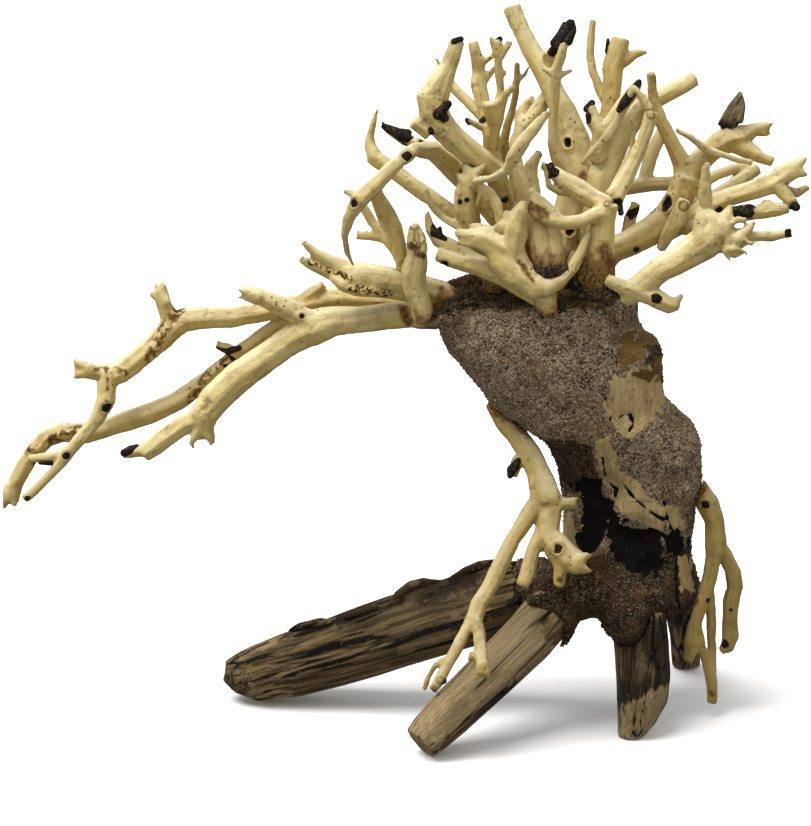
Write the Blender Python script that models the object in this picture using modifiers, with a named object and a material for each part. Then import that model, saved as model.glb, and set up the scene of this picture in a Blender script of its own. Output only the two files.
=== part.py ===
"""Bonsai driftwood: a small leaning tree put together from driftwood.

Four logs are its roots, a trunk with a crust of glue and wood crumbs stands on them, and peeled
branches are stuck round its top and on its sides. Metres, +Z up, the front faces -Y.

Places are taken by survey: an eye in front of the tree looks slightly down on it, and a point is
given by where the eye sees it on the upright sight plane through the trunk's foot (across to the
right, up) and by how far it stands in front of that plane. A station is such a point with the
limb's radius there: (across, up, front, radius), all in survey units.
"""

import math

import bmesh
import bpy
from mathutils import Vector, noise

# Driving dimensions
TREE_SPAN = 0.307  # from the tip of the longest arm to the tip of the right-hand branch
SPAN_IN_UNITS = 808.0  # the same span in survey units
UNIT = TREE_SPAN / SPAN_IN_UNITS
EYE_TILT = math.radians(16.0)  # how steeply the eye looks down
EYE_DISTANCE = 1.0  # from the eye to the sight plane
SIGHT_ACROSS = -194.5  # where the line of sight meets the sight plane
SIGHT_UP = 292.0
CROWN_FOOT = 420.0  # the height, in survey units, from which the crown opens
CROWN_SPREAD = 0.004  # how fast it opens to the front and back, for each unit of height
GAP = 0.0003  # left between one piece and the next
THIN_LIMB = 12.5  # a limb with a mean radius below this has six sides, in survey units
LIMB_ROUGHNESS = 0.07  # unevenness of a limb, as a share of its mean radius
LIMB_LUMP = 0.007  # length of one lump on a limb
CRUST_CELL = 0.0024  # fineness of the trunk before it is made lighter
CRUST_LUMP = 0.011  # length of one lump on the trunk
CRUST_RELIEF = 0.0013  # height of the lumps on the trunk
TRUNK_SHARE = 0.065  # share of the trunk's fine triangles that is kept
LIMB_SHARE = 0.82  # the same for a limb that is joined and cut
UNEVENNESS_SEED = 11  # of the random field that makes the wood uneven
CORNER_SHARE = 1.3  # how much further than the gap a grown solid's corners move
FLOOR_BLOCK = 0.6  # side of the block that cuts the roots flat
SAME_PLACE = 0.00001  # points nearer than this are one point

RIGHT = Vector((1.0, 0.0, 0.0))
UPWARD = Vector((0.0, math.sin(EYE_TILT), math.cos(EYE_TILT)))
TOWARD_EYE = Vector((0.0, -math.cos(EYE_TILT), math.sin(EYE_TILT)))
EYE = RIGHT * SIGHT_ACROSS + UPWARD * SIGHT_UP + TOWARD_EYE * (EYE_DISTANCE / UNIT)

# The trunk's outline: (up, left, right, front, back), from the top down
TRUNK_RINGS = (
    (420, -138, 30, 56, 60),
    (405, -154, 41, 67, 69),
    (385, -163, 38, 73, 73),
    (365, -157, 47, 76, 76),
    (345, -143, 62, 77, 76),
    (325, -127, 65, 76, 74),
    (305, -111, 65, 74, 72),
    (287, -90, 88, 70, 72),
    (268, -56, 99, 62, 72),
    (245, -44, 102, 57, 72),
    (225, -38, 103, 56, 72),
    (205, -37, 96, 56, 70),
    (185, -38, 92, 56, 68),
    (160, -36, 90, 56, 66),
    (135, -34, 93, 58, 66),
    (115, -32, 98, 58, 66),
    (100, -22, 88, 48, 58),
)
RING_SIDES = 28

# Lumps of crust on the trunk: across, up, front, and the radius across, up and towards the front
CRUST_LUMPS = (
    (42, 350, 34, 22, 24, 30),
    (74, 258, 20, 26, 34, 42),
    (76, 228, 10, 26, 30, 46),
    (-66, 116, 2, 34, 33, 36),
    (-28, 116, 30, 37, 33, 38),
    (38, 118, 44, 36, 30, 36),
    (26, 88, 62, 24, 30, 30),
    (76, 118, -46, 24, 28, 30),
    (84, 112, -8, 13, 18, 22),
)

# Charred hollows in the trunk's front: across, up, front, and the three radii
CHAR_HOLLOWS = (
    (0, 208, 66, 33, 26, 34),
    (-6, 176, 62, 28, 34, 28),
    (36, 166, 66, 30, 22, 26),
    (-33, 217, 44, 11, 10, 16),
    (48, 142, 62, 11, 24, 16),
)

ROOTS = {
    "root_left": [
        [(-50, 116, 0, 36), (-80, 109, -1, 38), (-120, 99, -3, 39), (-160, 86, -6, 39),
         (-200, 75, -8, 39), (-235, 62, -10, 38), (-270, 51, -12, 37), (-305, 41, -14, 35),
         (-342, 32, -15, 31), (-363, 33, -16, 22), (-376, 35, -16, 11)],
        [(-140, 100, -4, 24), (-165, 103, -5, 25), (-184, 97, -6, 23), (-208, 88, -8, 16)],
    ],
    "root_front": [
        [(-30, 110, 36, 26), (-46, 96, 44, 27), (-74, 65, 66, 27.5), (-112, 28, 92, 26),
         (-150, -9, 113, 24.5), (-170, -29, 124, 22.5), (-180, -39, 130, 20)],
    ],
    "root_right_front": [
        [(36, 140, 36, 28), (39, 122, 41, 30), (38, 90, 50, 29), (41, 60, 58, 28.5),
         (43, 30, 66, 28), (42, 8, 70, 26), (36, -12, 74, 21), (29, -31, 78, 13),
         (25, -42, 80, 11)],
    ],
    "root_right_back": [
        [(76, 135, -48, 22), (80, 112, -60, 21), (85, 75, -85, 17), (86, 45, -108, 15),
         (86, 26, -118, 15)],
    ],
}

DROOPING = {
    "drooping_front": [
        [(-92, 318, 10, 8), (-108, 299, 9, 7), (-97, 284, 14, 9.5), (-83, 269, 22, 12),
         (-70, 251, 34, 12.5), (-61, 231, 46, 13), (-55, 211, 58, 16.5), (-52, 200, 63, 17)],
        [(-76, 250, 34, 6), (-83, 245, 38, 5), (-85, 236, 42, 6), (-87, 229, 44, 4)],
        [(-48, 206, 62, 8), (-37, 203, 66, 5), (-24, 200, 68, 3.5)],
    ],
    "drooping_front_left": [
        [(-58, 204, 62, 12), (-71, 191, 68, 9), (-87, 165, 80, 7.8), (-100, 139, 92, 8),
         (-111, 117, 103, 8), (-121, 101, 112, 8.3), (-126, 85, 120, 8.5)],
        [(-127, 88, 118, 7), (-136, 70, 128, 6.2), (-145, 53, 138, 6), (-153, 39, 147, 5.4),
         (-160, 26, 154, 6), (-167, 14, 160, 4)],
        [(-151, 44, 144, 4), (-158, 44, 145, 3), (-166, 38, 146, 2.7), (-172, 27, 147, 2.5),
         (-175, 16, 148, 2.4)],
        [(-126, 88, 120, 7.5), (-121, 70, 132, 6.6), (-120, 54, 143, 6.6), (-118, 39, 154, 7),
         (-118, 29, 160, 7.4)],
        [(-120, 44, 150, 5), (-128, 49, 150, 5.5), (-131, 44, 150, 3)],
    ],
    "drooping_front_right": [
        [(-52, 206, 60, 15), (-51, 190, 68, 12.5), (-53, 172, 76, 13), (-43, 158, 84, 14.5),
         (-31, 146, 90, 14), (-18, 140, 94, 11)],
        [(-57, 172, 76, 10), (-68, 152, 86, 7.6), (-72, 133, 94, 7.8), (-78, 119, 100, 7)],
        [(-40, 148, 90, 8), (-40, 133, 94, 6.6), (-41, 119, 97, 5)],
    ],
    "drooping_right": [
        [(84, 232, 16, 9), (98, 218, 20, 10), (107, 202, 24, 11.5), (114, 185, 26, 10.5),
         (116, 165, 28, 11.5), (115, 152, 29, 11)],
    ],
    "drooping_right_inner": [
        [(114, 158, 29, 9.5), (113, 145, 30, 8.5), (109, 125, 31, 7.8), (103, 105, 32, 7.2),
         (96, 85, 32, 6.8), (92, 65, 32, 8.6), (91, 53, 32, 7), (88, 44, 32, 5)],
        [(97, 78, 32, 5), (101, 62, 32, 4.6), (106, 43, 31, 4.6), (112, 20, 30, 5.2),
         (113, 3, 30, 5)],
        [(108, 118, 28, 6.5), (111, 92, 26, 5), (112, 61, 26, 4.2), (112, 38, 27, 4.4),
         (112, 18, 29, 5)],
    ],
    "drooping_right_outer": [
        [(117, 160, 28, 9), (125, 151, 26, 7.5), (133, 134, 24, 8), (135, 118, 23, 8),
         (131, 102, 22, 8), (130, 85, 22, 7.5), (130, 69, 22, 8.4), (127, 58, 22, 7),
         (121, 54, 22, 4)],
    ],
}

ARMS = {
    "arm_front": [
        [(-118, 384, -6, 12), (-145, 388, 0, 13), (-172, 389, 5, 14), (-200, 390, 5, 13.5),
         (-234, 386, 5, 13.5), (-267, 383, 5, 15.5), (-290, 376, 6, 19)],
    ],
    "arm_front_outer": [
        [(-286, 378, 6, 18), (-310, 364, 6, 15), (-334, 347, 7, 14.5), (-362, 327, 8, 15.5),
         (-383, 307, 9, 15.5), (-397, 289, 10, 14.5), (-399, 275, 10, 12), (-400, 268, 10, 9)],
        [(-403, 276, 10, 5), (-407, 266, 10, 3), (-407, 257, 10, 1)],
        [(-392, 276, 10, 6), (-388, 268, 10, 3.5), (-387, 261, 10, 1.5)],
        [(-395, 288, 10, 12), (-415, 281, 10, 11), (-430, 271, 10, 10.5), (-445, 259, 11, 10.5),
         (-456, 252, 11, 9)],
        [(-452, 254, 11, 6), (-464, 255, 11, 7), (-470, 252, 11, 5.5), (-477, 251, 11, 4)],
    ],
    "arm_front_prong": [
        [(-292, 384, 8, 13), (-310, 395, 8, 11), (-330, 404, 9, 9.5), (-345, 411, 9, 8),
         (-356, 415, 9, 6)],
    ],
    "arm_back": [
        [(-128, 390, -20, 12), (-170, 398, -28, 12), (-200, 405, -30, 12), (-230, 407, -33, 12),
         (-260, 408, -35, 12), (-300, 400, -35, 11), (-335, 394, -32, 10.5),
         (-370, 388, -30, 11), (-400, 387, -28, 11.5), (-420, 385, -27, 12.5)],
        [(-300, 404, -34, 6), (-288, 412, -32, 7), (-276, 420, -30, 4)],
    ],
    "arm_back_outer": [
        [(-416, 385, -27, 12), (-432, 374, -24, 13), (-448, 358, -20, 11.5),
         (-465, 344, -17, 11.5), (-480, 333, -14, 12), (-489, 329, -13, 11.5)],
        [(-428, 383, -26, 11), (-437, 402, -26, 8), (-440, 412, -26, 6), (-437, 421, -26, 2.5)],
        [(-439, 406, -26, 5), (-449, 411, -26, 3)],
        [(-486, 331, -14, 11), (-505, 334, -16, 9), (-515, 335, -17, 8.5), (-524, 335, -18, 7.5)],
    ],
    "arm_back_lower": [
        [(-489, 332, -13, 11), (-493, 320, -10, 10), (-494, 305, -6, 9.5), (-500, 292, -4, 8),
         (-508, 280, -2, 7), (-518, 268, 0, 6.6), (-528, 257, 1, 6.4), (-538, 244, 2, 6),
         (-547, 233, 3, 4.8), (-562, 218, 4, 4.5), (-575, 206, 4, 4.5)],
        [(-530, 253, 1, 5), (-550, 248, -2, 5), (-571, 246, -8, 4)],
    ],
    "arm_low": [
        [(-294, 398, -38, 8), (-317, 383, -38, 8), (-338, 369, -36, 8), (-360, 353, -34, 7.5),
         (-374, 342, -33, 7.5), (-389, 330, -32, 8), (-409, 313, -30, 9.5),
         (-424, 303, -29, 10.5), (-447, 293, -28, 11), (-470, 285, -28, 10.5),
         (-493, 277, -28, 10), (-515, 272, -28, 10.5), (-538, 273, -27, 10.5),
         (-554, 267, -26, 9.5), (-566, 253, -25, 8.5), (-576, 238, -24, 9),
         (-585, 220, -23, 8.5), (-589, 203, -22, 8)],
        [(-362, 350, -32, 5), (-372, 356, -28, 5.5), (-382, 361, -26, 3)],
    ],
}

CROWN_LEFT = {
    "flared_branch": [
        [(-122, 400, 6, 15), (-150, 407, 14, 15), (-180, 415, 18, 15), (-205, 421, 20, 15.5),
         (-230, 425, 20, 16.5), (-254, 428, 20, 16)],
        [(-244, 432, 20, 11), (-272, 444, 20, 7.5), (-285, 452, 20, 5.5), (-297, 463, 20, 2.5)],
        [(-244, 424, 20, 12), (-272, 433, 21, 7), (-288, 440, 22, 5.5), (-299, 446, 22, 3.5)],
    ],
    "finger_branch": [
        [(-178, 383, 40, 8), (-178, 393, 42, 11), (-180, 405, 42, 11), (-186, 420, 42, 12.5),
         (-186, 435, 42, 13), (-183, 450, 42, 11), (-183, 465, 42, 10.5), (-186, 480, 42, 5)],
    ],
    "thorn_branch": [
        [(-88, 408, 0, 11), (-96, 436, 0, 11), (-110, 460, 0, 10), (-130, 477, 0, 9),
         (-148, 492, -4, 8.5), (-168, 506, -8, 8.5), (-190, 522, -12, 8), (-210, 537, -16, 9),
         (-226, 548, -18, 9), (-230, 560, -20, 6), (-229, 572, -20, 3.5), (-226, 585, -20, 2.5),
         (-222, 597, -20, 1.5)],
    ],
    "tall_branch_left": [
        [(-84, 410, -2, 15), (-85, 445, -2, 15), (-92, 480, -4, 13), (-100, 515, -8, 11),
         (-105, 545, -12, 9), (-110, 570, -15, 8), (-114, 591, -20, 7.5), (-118, 607, -22, 8),
         (-122, 621, -24, 9), (-121, 633, -25, 7.5), (-123, 647, -25, 7), (-127, 663, -25, 5)],
        [(-120, 640, -25, 5), (-114, 645, -25, 3.5), (-106, 650, -25, 3)],
        [(-120, 620, -24, 5), (-113, 628, -25, 3.5), (-105, 638, -25, 3)],
        [(-112, 583, -20, 6), (-118, 589, -26, 5.5), (-132, 603, -32, 5.5), (-146, 617, -36, 5),
         (-156, 633, -38, 3), (-164, 647, -38, 1.5)],
    ],
    "hook_branch": [
        [(-100, 480, -11, 9), (-110, 494, -12, 10), (-122, 510, -12, 10), (-138, 527, -8, 11),
         (-152, 542, 0, 11.5), (-168, 555, 12, 10), (-186, 555, 26, 7.5), (-205, 539, 34, 7),
         (-224, 521, 38, 8.5), (-241, 505, 40, 9), (-251, 488, 40, 6), (-256, 470, 38, 3.5),
         (-253, 453, 36, 2.5), (-246, 438, 34, 1.2)],
        [(-241, 506, 40, 4.5), (-250, 512, 40, 3), (-257, 514, 40, 2)],
        [(-166, 553, 11, 8), (-188, 563, 8, 6), (-197, 567, 6, 7), (-208, 574, 4, 5.5),
         (-218, 580, 2, 3)],
    ],
    "cork_branch": [
        [(-198, 420, 18, 6), (-198, 443, 20, 6), (-201, 460, 18, 7.5), (-207, 477, 16, 9.5),
         (-215, 493, 16, 9.5), (-226, 515, 24, 7)],
    ],
    "back_twig_left": [
        [(-196, 425, 8, 6), (-198, 440, 4, 6), (-204, 455, 0, 6), (-216, 469, -4, 5.5),
         (-228, 483, -6, 5), (-238, 500, -6, 4.5)],
        [(-213, 466, -4, 5), (-230, 469, -5, 5), (-243, 470, -6, 4.5)],
    ],
    "stump_branch": [
        [(-104, 412, 22, 12), (-110, 443, 22, 12), (-122, 465, 28, 12), (-130, 480, 32, 12),
         (-134, 498, 34, 13), (-134, 515, 34, 12), (-132, 529, 34, 8)],
        [(-126, 470, 36, 5.5), (-142, 479, 36, 5), (-156, 487, 32, 4), (-166, 497, 28, 4),
         (-173, 508, 26, 3), (-173, 516, 25, 1.8)],
    ],
    "thick_stub": [
        [(-94, 500, 8, 10), (-105, 533, 20, 12), (-120, 545, 25, 13), (-138, 559, 28, 13),
         (-155, 575, 30, 14), (-167, 593, 28, 15), (-168, 607, 26, 16), (-160, 623, 24, 13),
         (-152, 637, 22, 10), (-146, 653, 20, 8), (-142, 665, 18, 7.5)],
        [(-170, 572, 30, 9), (-187, 583, 30, 7.5)],
    ],
    "cluster_branch": [
        [(-86, 468, 12, 10), (-94, 500, 8, 11), (-102, 530, 3, 9), (-108, 553, 4, 8.5),
         (-109, 571, 8, 8.5), (-103, 585, 10, 6.5), (-100, 599, 12, 5.5), (-94, 611, 13, 4),
         (-86, 619, 14, 3)],
        [(-108, 573, 8, 5), (-124, 581, 6, 3.5), (-133, 585, 6, 3)],
        [(-106, 583, 11, 7), (-110, 602, 13, 7.5)],
        [(-103, 588, 9, 5), (-102, 601, 7, 5), (-99, 615, 5, 4), (-101, 633, 5, 4),
         (-102, 650, 5, 4), (-101, 665, 5, 3.5)],
        [(-102, 646, 5, 3.5), (-109, 667, 5, 2.5)],
        [(-101, 633, 5, 3), (-93, 632, 5, 2)],
        [(-101, 644, 5, 3), (-90, 663, 5, 3.4)],
    ],
    "white_twig_left": [
        [(-132, 514, 38, 4), (-124, 524, 42, 4), (-108, 527, 44, 3.5), (-94, 534, 44, 4.5),
         (-87, 547, 45, 7.5), (-77, 563, 45, 7), (-65, 578, 43, 5.5), (-52, 593, 40, 3.8)],
    ],
    "dark_twig": [
        [(-97, 530, -6, 6), (-95, 545, -4, 6), (-96, 563, -3, 5), (-93, 579, -3, 4),
         (-88, 595, -4, 3.5), (-84, 613, -4, 3.5), (-83, 630, -5, 3), (-83, 643, -5, 3)],
        [(-86, 620, -4, 3), (-75, 631, -5, 2), (-70, 640, -5, 1.5)],
    ],
    "curved_branch": [
        [(-66, 412, -6, 12), (-68, 440, -8, 12), (-70, 475, -12, 12), (-77, 505, -16, 11),
         (-83, 530, -20, 9), (-86, 551, -24, 7.3), (-82, 567, -26, 7.5), (-74, 581, -28, 8),
         (-64, 593, -30, 8), (-54, 607, -30, 7.5), (-48, 617, -28, 7)],
        [(-80, 575, -27, 6), (-81, 591, -31, 5), (-75, 601, -33, 4), (-67, 608, -34, 2.5)],
    ],
    "pale_stub": [
        [(-66, 480, -22, 7), (-64, 500, -28, 8), (-68, 520, -34, 7.5), (-69, 540, -38, 6.5),
         (-60, 553, -40, 4)],
    ],
}

CROWN_BACK = {
    "crown_stem": [
        [(-42, 408, -6, 24), (-42, 430, -8, 25), (-35, 465, -12, 22), (-25, 500, -14, 20),
         (-20, 530, -16, 18), (-22, 553, -18, 16), (-28, 573, -20, 14), (-36, 593, -22, 12.5),
         (-46, 613, -24, 11), (-56, 633, -27, 11), (-68, 653, -30, 9.5), (-80, 675, -33, 8.5),
         (-89, 698, -35, 9.5)],
        [(-50, 626, -26, 9), (-49, 643, -25, 8), (-50, 655, -22, 7.5)],
    ],
    "slanting_branch": [
        [(-2, 408, -2, 18), (-3, 440, 0, 18), (-4, 480, 0, 18), (-2, 507, -5, 16),
         (0, 527, -8, 15.5), (8, 545, -12, 14), (18, 563, -15, 12), (30, 582, -18, 11),
         (41, 599, -22, 10), (60, 608, -26, 9), (78, 617, -28, 9), (95, 626, -30, 8)],
    ],
    "forked_branch": [
        [(0, 544, -4, 9), (-2, 555, -3, 9), (0, 572, -5, 8.5), (-6, 587, -8, 7), (-10, 598, -9, 5)],
        [(-2, 568, -5, 8), (12, 585, -8, 6.5), (24, 602, -10, 7), (33, 613, -11, 7),
         (40, 623, -12, 4.5)],
        [(-2, 576, -6, 5), (-12, 585, -6, 4.5)],
    ],
    "front_stick": [
        [(-26, 518, 0, 9), (-36, 537, 0, 9), (-43, 549, 2, 7.5), (-47, 563, 3, 6),
         (-47, 580, 3, 5), (-46, 600, 3, 5), (-45, 617, 3, 5), (-44, 635, 4, 5.5),
         (-38, 650, 5, 5), (-36, 662, 5, 4.5)],
        [(-45, 630, 4, 4), (-57, 637, 3, 2)],
        [(-43, 628, 4, 4), (-28, 635, 4, 2)],
    ],
    "thick_upright": [
        [(2, 522, -20, 9), (4, 545, -28, 10), (6, 570, -32, 9), (8, 590, -34, 8.5),
         (11, 605, -35, 9), (12, 620, -36, 10), (13, 637, -37, 10.5), (17, 653, -38, 11.5),
         (21, 667, -38, 9.5)],
        [(16, 640, -38, 8), (25, 645, -38, 7), (37, 652, -38, 4.5), (48, 653, -38, 1)],
    ],
    "thin_upright": [
        [(7, 600, -36, 5), (1, 612, -40, 5), (-3, 622, -41, 4.8), (-8, 635, -42, 4.2),
         (-10, 650, -44, 4), (-9, 670, -45, 4), (-7, 685, -45, 3.5)],
    ],
    "bark_chip_top": [
        [(-50, 650, -20, 5), (-42, 661, -18, 5.5), (-34, 674, -17, 6), (-31, 683, -17, 4)],
    ],
    "back_crosspiece": [
        [(-12, 490, -20, 8), (0, 506, -28, 8), (20, 516, -34, 7.5), (45, 520, -38, 7.5),
         (72, 522, -42, 7.5), (90, 525, -44, 7)],
        [(43, 518, -38, 7), (50, 545, -42, 7.5), (58, 565, -44, 7), (66, 580, -46, 6.5)],
    ],
}

CROWN_FRONT = {
    "bow_branch": [
        [(-6, 404, 42, 19), (-6, 430, 44, 20), (-2, 450, 44, 18), (0, 467, 42, 15),
         (3, 483, 40, 12), (8, 502, 38, 11)],
        [(10, 498, 38, 11), (-6, 506, 34, 10), (-22, 515, 30, 11.5), (-36, 524, 27, 10),
         (-48, 534, 24, 6.5)],
        [(-30, 514, 29, 6), (-40, 513, 30, 3.5), (-51, 519, 31, 3), (-54, 532, 31, 2.5),
         (-57, 543, 31, 1.5)],
    ],
    "bow_arm": [
        [(4, 492, 42, 9), (-5, 490, 46, 7.5), (-20, 484, 50, 6.8), (-35, 482, 52, 6.8),
         (-50, 485, 52, 7), (-63, 491, 50, 6), (-73, 499, 48, 5)],
    ],
    "pointed_stick": [
        [(6, 496, 36, 9), (14, 507, 32, 10), (24, 523, 28, 8.5), (32, 539, 25, 7.5),
         (40, 557, 22, 7), (47, 575, 20, 7), (52, 593, 18, 6.5)],
        [(14, 512, 28, 6), (19, 527, 20, 4), (26, 543, 14, 3.2), (32, 557, 10, 2.5),
         (34, 571, 9, 2.2), (31, 586, 8, 1)],
    ],
    "white_twig_right": [
        [(-18, 540, 8, 2), (-13, 548, 9, 2.5), (-3, 558, 10, 3.5), (7, 569, 10, 4.5),
         (16, 581, 11, 4.5), (23, 595, 12, 4), (29, 608, 13, 3.5), (33, 620, 14, 2)],
        [(31, 610, 14, 3), (35, 617, 15, 2.7), (42, 607, 16, 4), (50, 595, 18, 5)],
    ],
    "cup_branch": [
        [(-52, 392, 56, 13), (-56, 408, 61, 14), (-72, 418, 60, 13.5), (-95, 430, 55, 12),
         (-120, 438, 50, 9.5), (-143, 444, 46, 8.5), (-163, 452, 42, 8)],
        [(-112, 440, 46, 7), (-125, 448, 40, 5), (-145, 458, 38, 7), (-162, 465, 36, 8),
         (-170, 477, 35, 5), (-173, 493, 34, 2)],
        [(-56, 406, 60, 12), (-50, 418, 60, 10), (-40, 426, 57, 7), (-30, 439, 54, 5.5),
         (-25, 453, 50, 4)],
    ],
    "cup_crest": [
        [(-74, 422, 60, 12), (-88, 443, 60, 14), (-100, 458, 60, 13), (-116, 467, 58, 10),
         (-135, 469, 56, 7), (-144, 473, 55, 4)],
        [(-90, 446, 60, 12), (-84, 477, 58, 11), (-79, 493, 55, 7), (-77, 503, 52, 4)],
    ],
}

CROWN_RIGHT = {
    "right_stem": [
        [(-8, 432, 18, 13), (12, 455, 10, 14), (32, 463, 8, 14), (52, 474, 5, 15),
         (68, 491, 2, 13.5), (81, 510, 0, 14), (88, 527, -2, 15)],
        [(26, 460, -4, 9), (29, 474, -16, 8), (30, 487, -22, 6.5), (36, 502, -24, 5)],
    ],
    "right_stem_inner": [
        [(86, 524, -3, 12), (82, 542, -4, 10), (75, 557, -5, 8), (67, 572, -6, 7.5),
         (60, 587, -7, 7), (55, 601, -8, 5.5), (52, 615, -8, 4.7), (51, 632, -8, 4.5)],
    ],
    "right_stem_outer": [
        [(90, 528, -3, 13), (100, 545, -4, 11.5), (114, 558, -6, 12), (128, 566, -8, 14),
         (142, 569, -10, 12), (155, 576, -12, 7), (168, 578, -14, 6)],
        [(130, 562, -7, 9), (152, 551, -4, 6.5), (173, 543, -2, 4.8)],
    ],
    "bark_chip_right": [
        [(127, 572, -8, 8), (129, 582, -8, 10), (135, 597, -9, 8), (141, 613, -10, 2.5)],
    ],
    "crossing_twig": [
        [(76, 575, 5, 2.5), (90, 568, 5, 3.5), (103, 558, 4, 4), (110, 554, 3, 4.5),
         (124, 550, 5, 3), (138, 545, 6, 3), (152, 543, 6, 3.5)],
    ],
    "long_right_branch": [
        [(66, 472, 2, 10), (80, 480, 2, 10), (105, 499, 8, 10), (130, 508, 10, 9.5),
         (155, 516, 10, 10), (176, 524, 8, 12), (194, 538, 6, 10)],
        [(176, 522, 10, 9), (188, 507, 14, 7), (195, 499, 15, 5.5)],
        [(178, 519, 6, 6), (186, 515, 2, 5), (197, 512, 0, 4.5), (208, 518, -2, 3.7)],
    ],
    "lower_right_branch": [
        [(80, 478, 8, 8), (100, 478, 14, 9), (115, 483, 15, 8), (142, 492, 16, 9),
         (162, 493, 16, 7.5), (180, 496, 16, 7), (189, 497, 16, 5)],
    ],
    "back_twig_right": [
        [(80, 500, -10, 8), (92, 498, -16, 9), (105, 500, -20, 9), (122, 512, -24, 8.5),
         (140, 524, -28, 8), (157, 537, -32, 6.5)],
        [(90, 502, -17, 6.5), (100, 520, -25, 6), (115, 529, -28, 5.5), (132, 536, -30, 5),
         (150, 540, -32, 4.2)],
    ],
    "front_right_branch": [
        [(12, 388, 44, 10), (18, 406, 52, 11), (38, 416, 58, 13), (60, 435, 56, 13),
         (84, 448, 50, 14), (104, 462, 45, 18), (116, 473, 42, 18), (122, 484, 40, 14)],
        [(6, 425, 62, 5.5), (20, 420, 62, 8), (40, 414, 62, 10), (56, 407, 62, 10.5),
         (70, 400, 62, 9), (79, 399, 62, 5)],
    ],
    "front_right_tip": [
        [(112, 466, 43, 14), (122, 465, 42, 14), (138, 467, 42, 12), (152, 469, 42, 7),
         (172, 469, 42, 5.2), (191, 472, 42, 4.5)],
    ],
    "shard": [
        [(108, 476, 40, 6), (108, 492, 36, 6), (105, 508, 35, 7), (106, 525, 34, 6),
         (106, 542, 34, 3)],
    ],
    "plank": [
        [(61, 456, 15, 5), (67, 468, 17, 7), (77, 485, 17, 9.5), (85, 505, 17, 6.5)],
    ],
}

BARK_CHIPS = ("bark_chip_top", "bark_chip_right")


def sighted(across, up, front):
    """The point that the eye sees at (across, up), standing front of the sight plane, in
    metres, and how much smaller than its size at the sight plane a thing there really is."""
    spread = 1 + CROWN_SPREAD * max(0.0, up - CROWN_FOOT)
    seen = RIGHT * across + UPWARD * up
    ray = seen - EYE
    reach = (-front * spread - EYE.y) / ray.y
    return (EYE + ray * reach) * UNIT, reach


def clear_scene():
    for obj in list(bpy.data.objects):
        bpy.data.objects.remove(obj)


def new_collection(name):
    collection = bpy.data.collections.new(name)
    bpy.context.scene.collection.children.link(collection)
    return collection


def new_material(name, colour, roughness):
    material = bpy.data.materials.new(name)
    material.use_nodes = True
    shader = material.node_tree.nodes["Principled BSDF"]
    shader.inputs["Base Color"].default_value = (*colour, 1.0)
    shader.inputs["Roughness"].default_value = roughness
    shader.inputs["Metallic"].default_value = 0.0
    material.diffuse_color = (*colour, 1.0)
    return material


def mesh_of(obj):
    """The object's shape with its modifiers applied, its caps and seams welded."""
    graph = bpy.context.evaluated_depsgraph_get()
    graph.update()
    mesh = bpy.data.meshes.new_from_object(obj.evaluated_get(graph))
    model = bmesh.new()
    model.from_mesh(mesh)
    bmesh.ops.remove_doubles(model, verts=model.verts, dist=SAME_PLACE)
    bmesh.ops.recalc_face_normals(model, faces=model.faces)
    model.to_mesh(mesh)
    model.free()
    return mesh


def apply_modifiers(piece):
    mesh = mesh_of(piece)
    piece.modifiers.clear()
    piece.data = mesh


def roughened(mesh, lump, height):
    """Moves the mesh's points by a smooth random field, the same for the same place."""
    for vertex in mesh.vertices:
        vertex.co += noise.noise_vector(vertex.co / lump) * height


def limb(name, stations, collection, swell=0.0):
    """One limb, as a closed mesh object. Swell makes it that much thicker all round."""
    curve = bpy.data.curves.new(name, "CURVE")
    curve.dimensions = "3D"
    curve.bevel_depth = UNIT
    curve.use_fill_caps = True
    mean_radius = sum(station[3] for station in stations) / len(stations)
    curve.bevel_resolution = 1 if mean_radius < THIN_LIMB else 2
    places = [sighted(*station[:3]) for station in stations]
    route = [place for place, _ in places]
    route[0], route[-1] = (
        end + (end - inward).normalized() * swell
        for end, inward in ((route[0], route[1]), (route[-1], route[-2]))
    )
    spline = curve.splines.new("POLY")
    spline.points.add(len(stations) - 1)
    for point, place, (_, reach), station in zip(spline.points, route, places, stations):
        point.co = (*place, 1.0)
        point.radius = station[3] * reach + swell / UNIT
    guide = bpy.data.objects.new(name, curve)
    collection.objects.link(guide)
    mesh = mesh_of(guide)
    bpy.data.objects.remove(guide)
    roughened(mesh, LIMB_LUMP, mean_radius * UNIT * LIMB_ROUGHNESS)
    piece = bpy.data.objects.new(name, mesh)
    collection.objects.link(piece)
    return piece


def ellipsoid(name, place, radii, collection):
    """A closed lump or cutter, given in survey units."""
    centre, reach = sighted(*place)
    model = bmesh.new()
    bmesh.ops.create_icosphere(model, subdivisions=3, radius=1.0)
    across, up, front = (radius * reach * UNIT for radius in radii)
    for vertex in model.verts:
        vertex.co = centre + Vector((vertex.co.x * across, vertex.co.y * front, vertex.co.z * up))
    mesh = bpy.data.meshes.new(name)
    model.to_mesh(mesh)
    model.free()
    piece = bpy.data.objects.new(name, mesh)
    collection.objects.link(piece)
    return piece


def combined(piece, others, operation):
    """Joins the others to the piece, or cuts them from it, and removes them. A limb crosses
    itself where it turns sharply, which the exact solver can't take."""
    for other in others:
        other.hide_render = True
        other.display_type = "WIRE"
        boolean = piece.modifiers.new(other.name, "BOOLEAN")
        boolean.operation = operation
        boolean.solver = "MANIFOLD"
        boolean.object = other
        apply_modifiers(piece)
        bpy.data.objects.remove(other)


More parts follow.
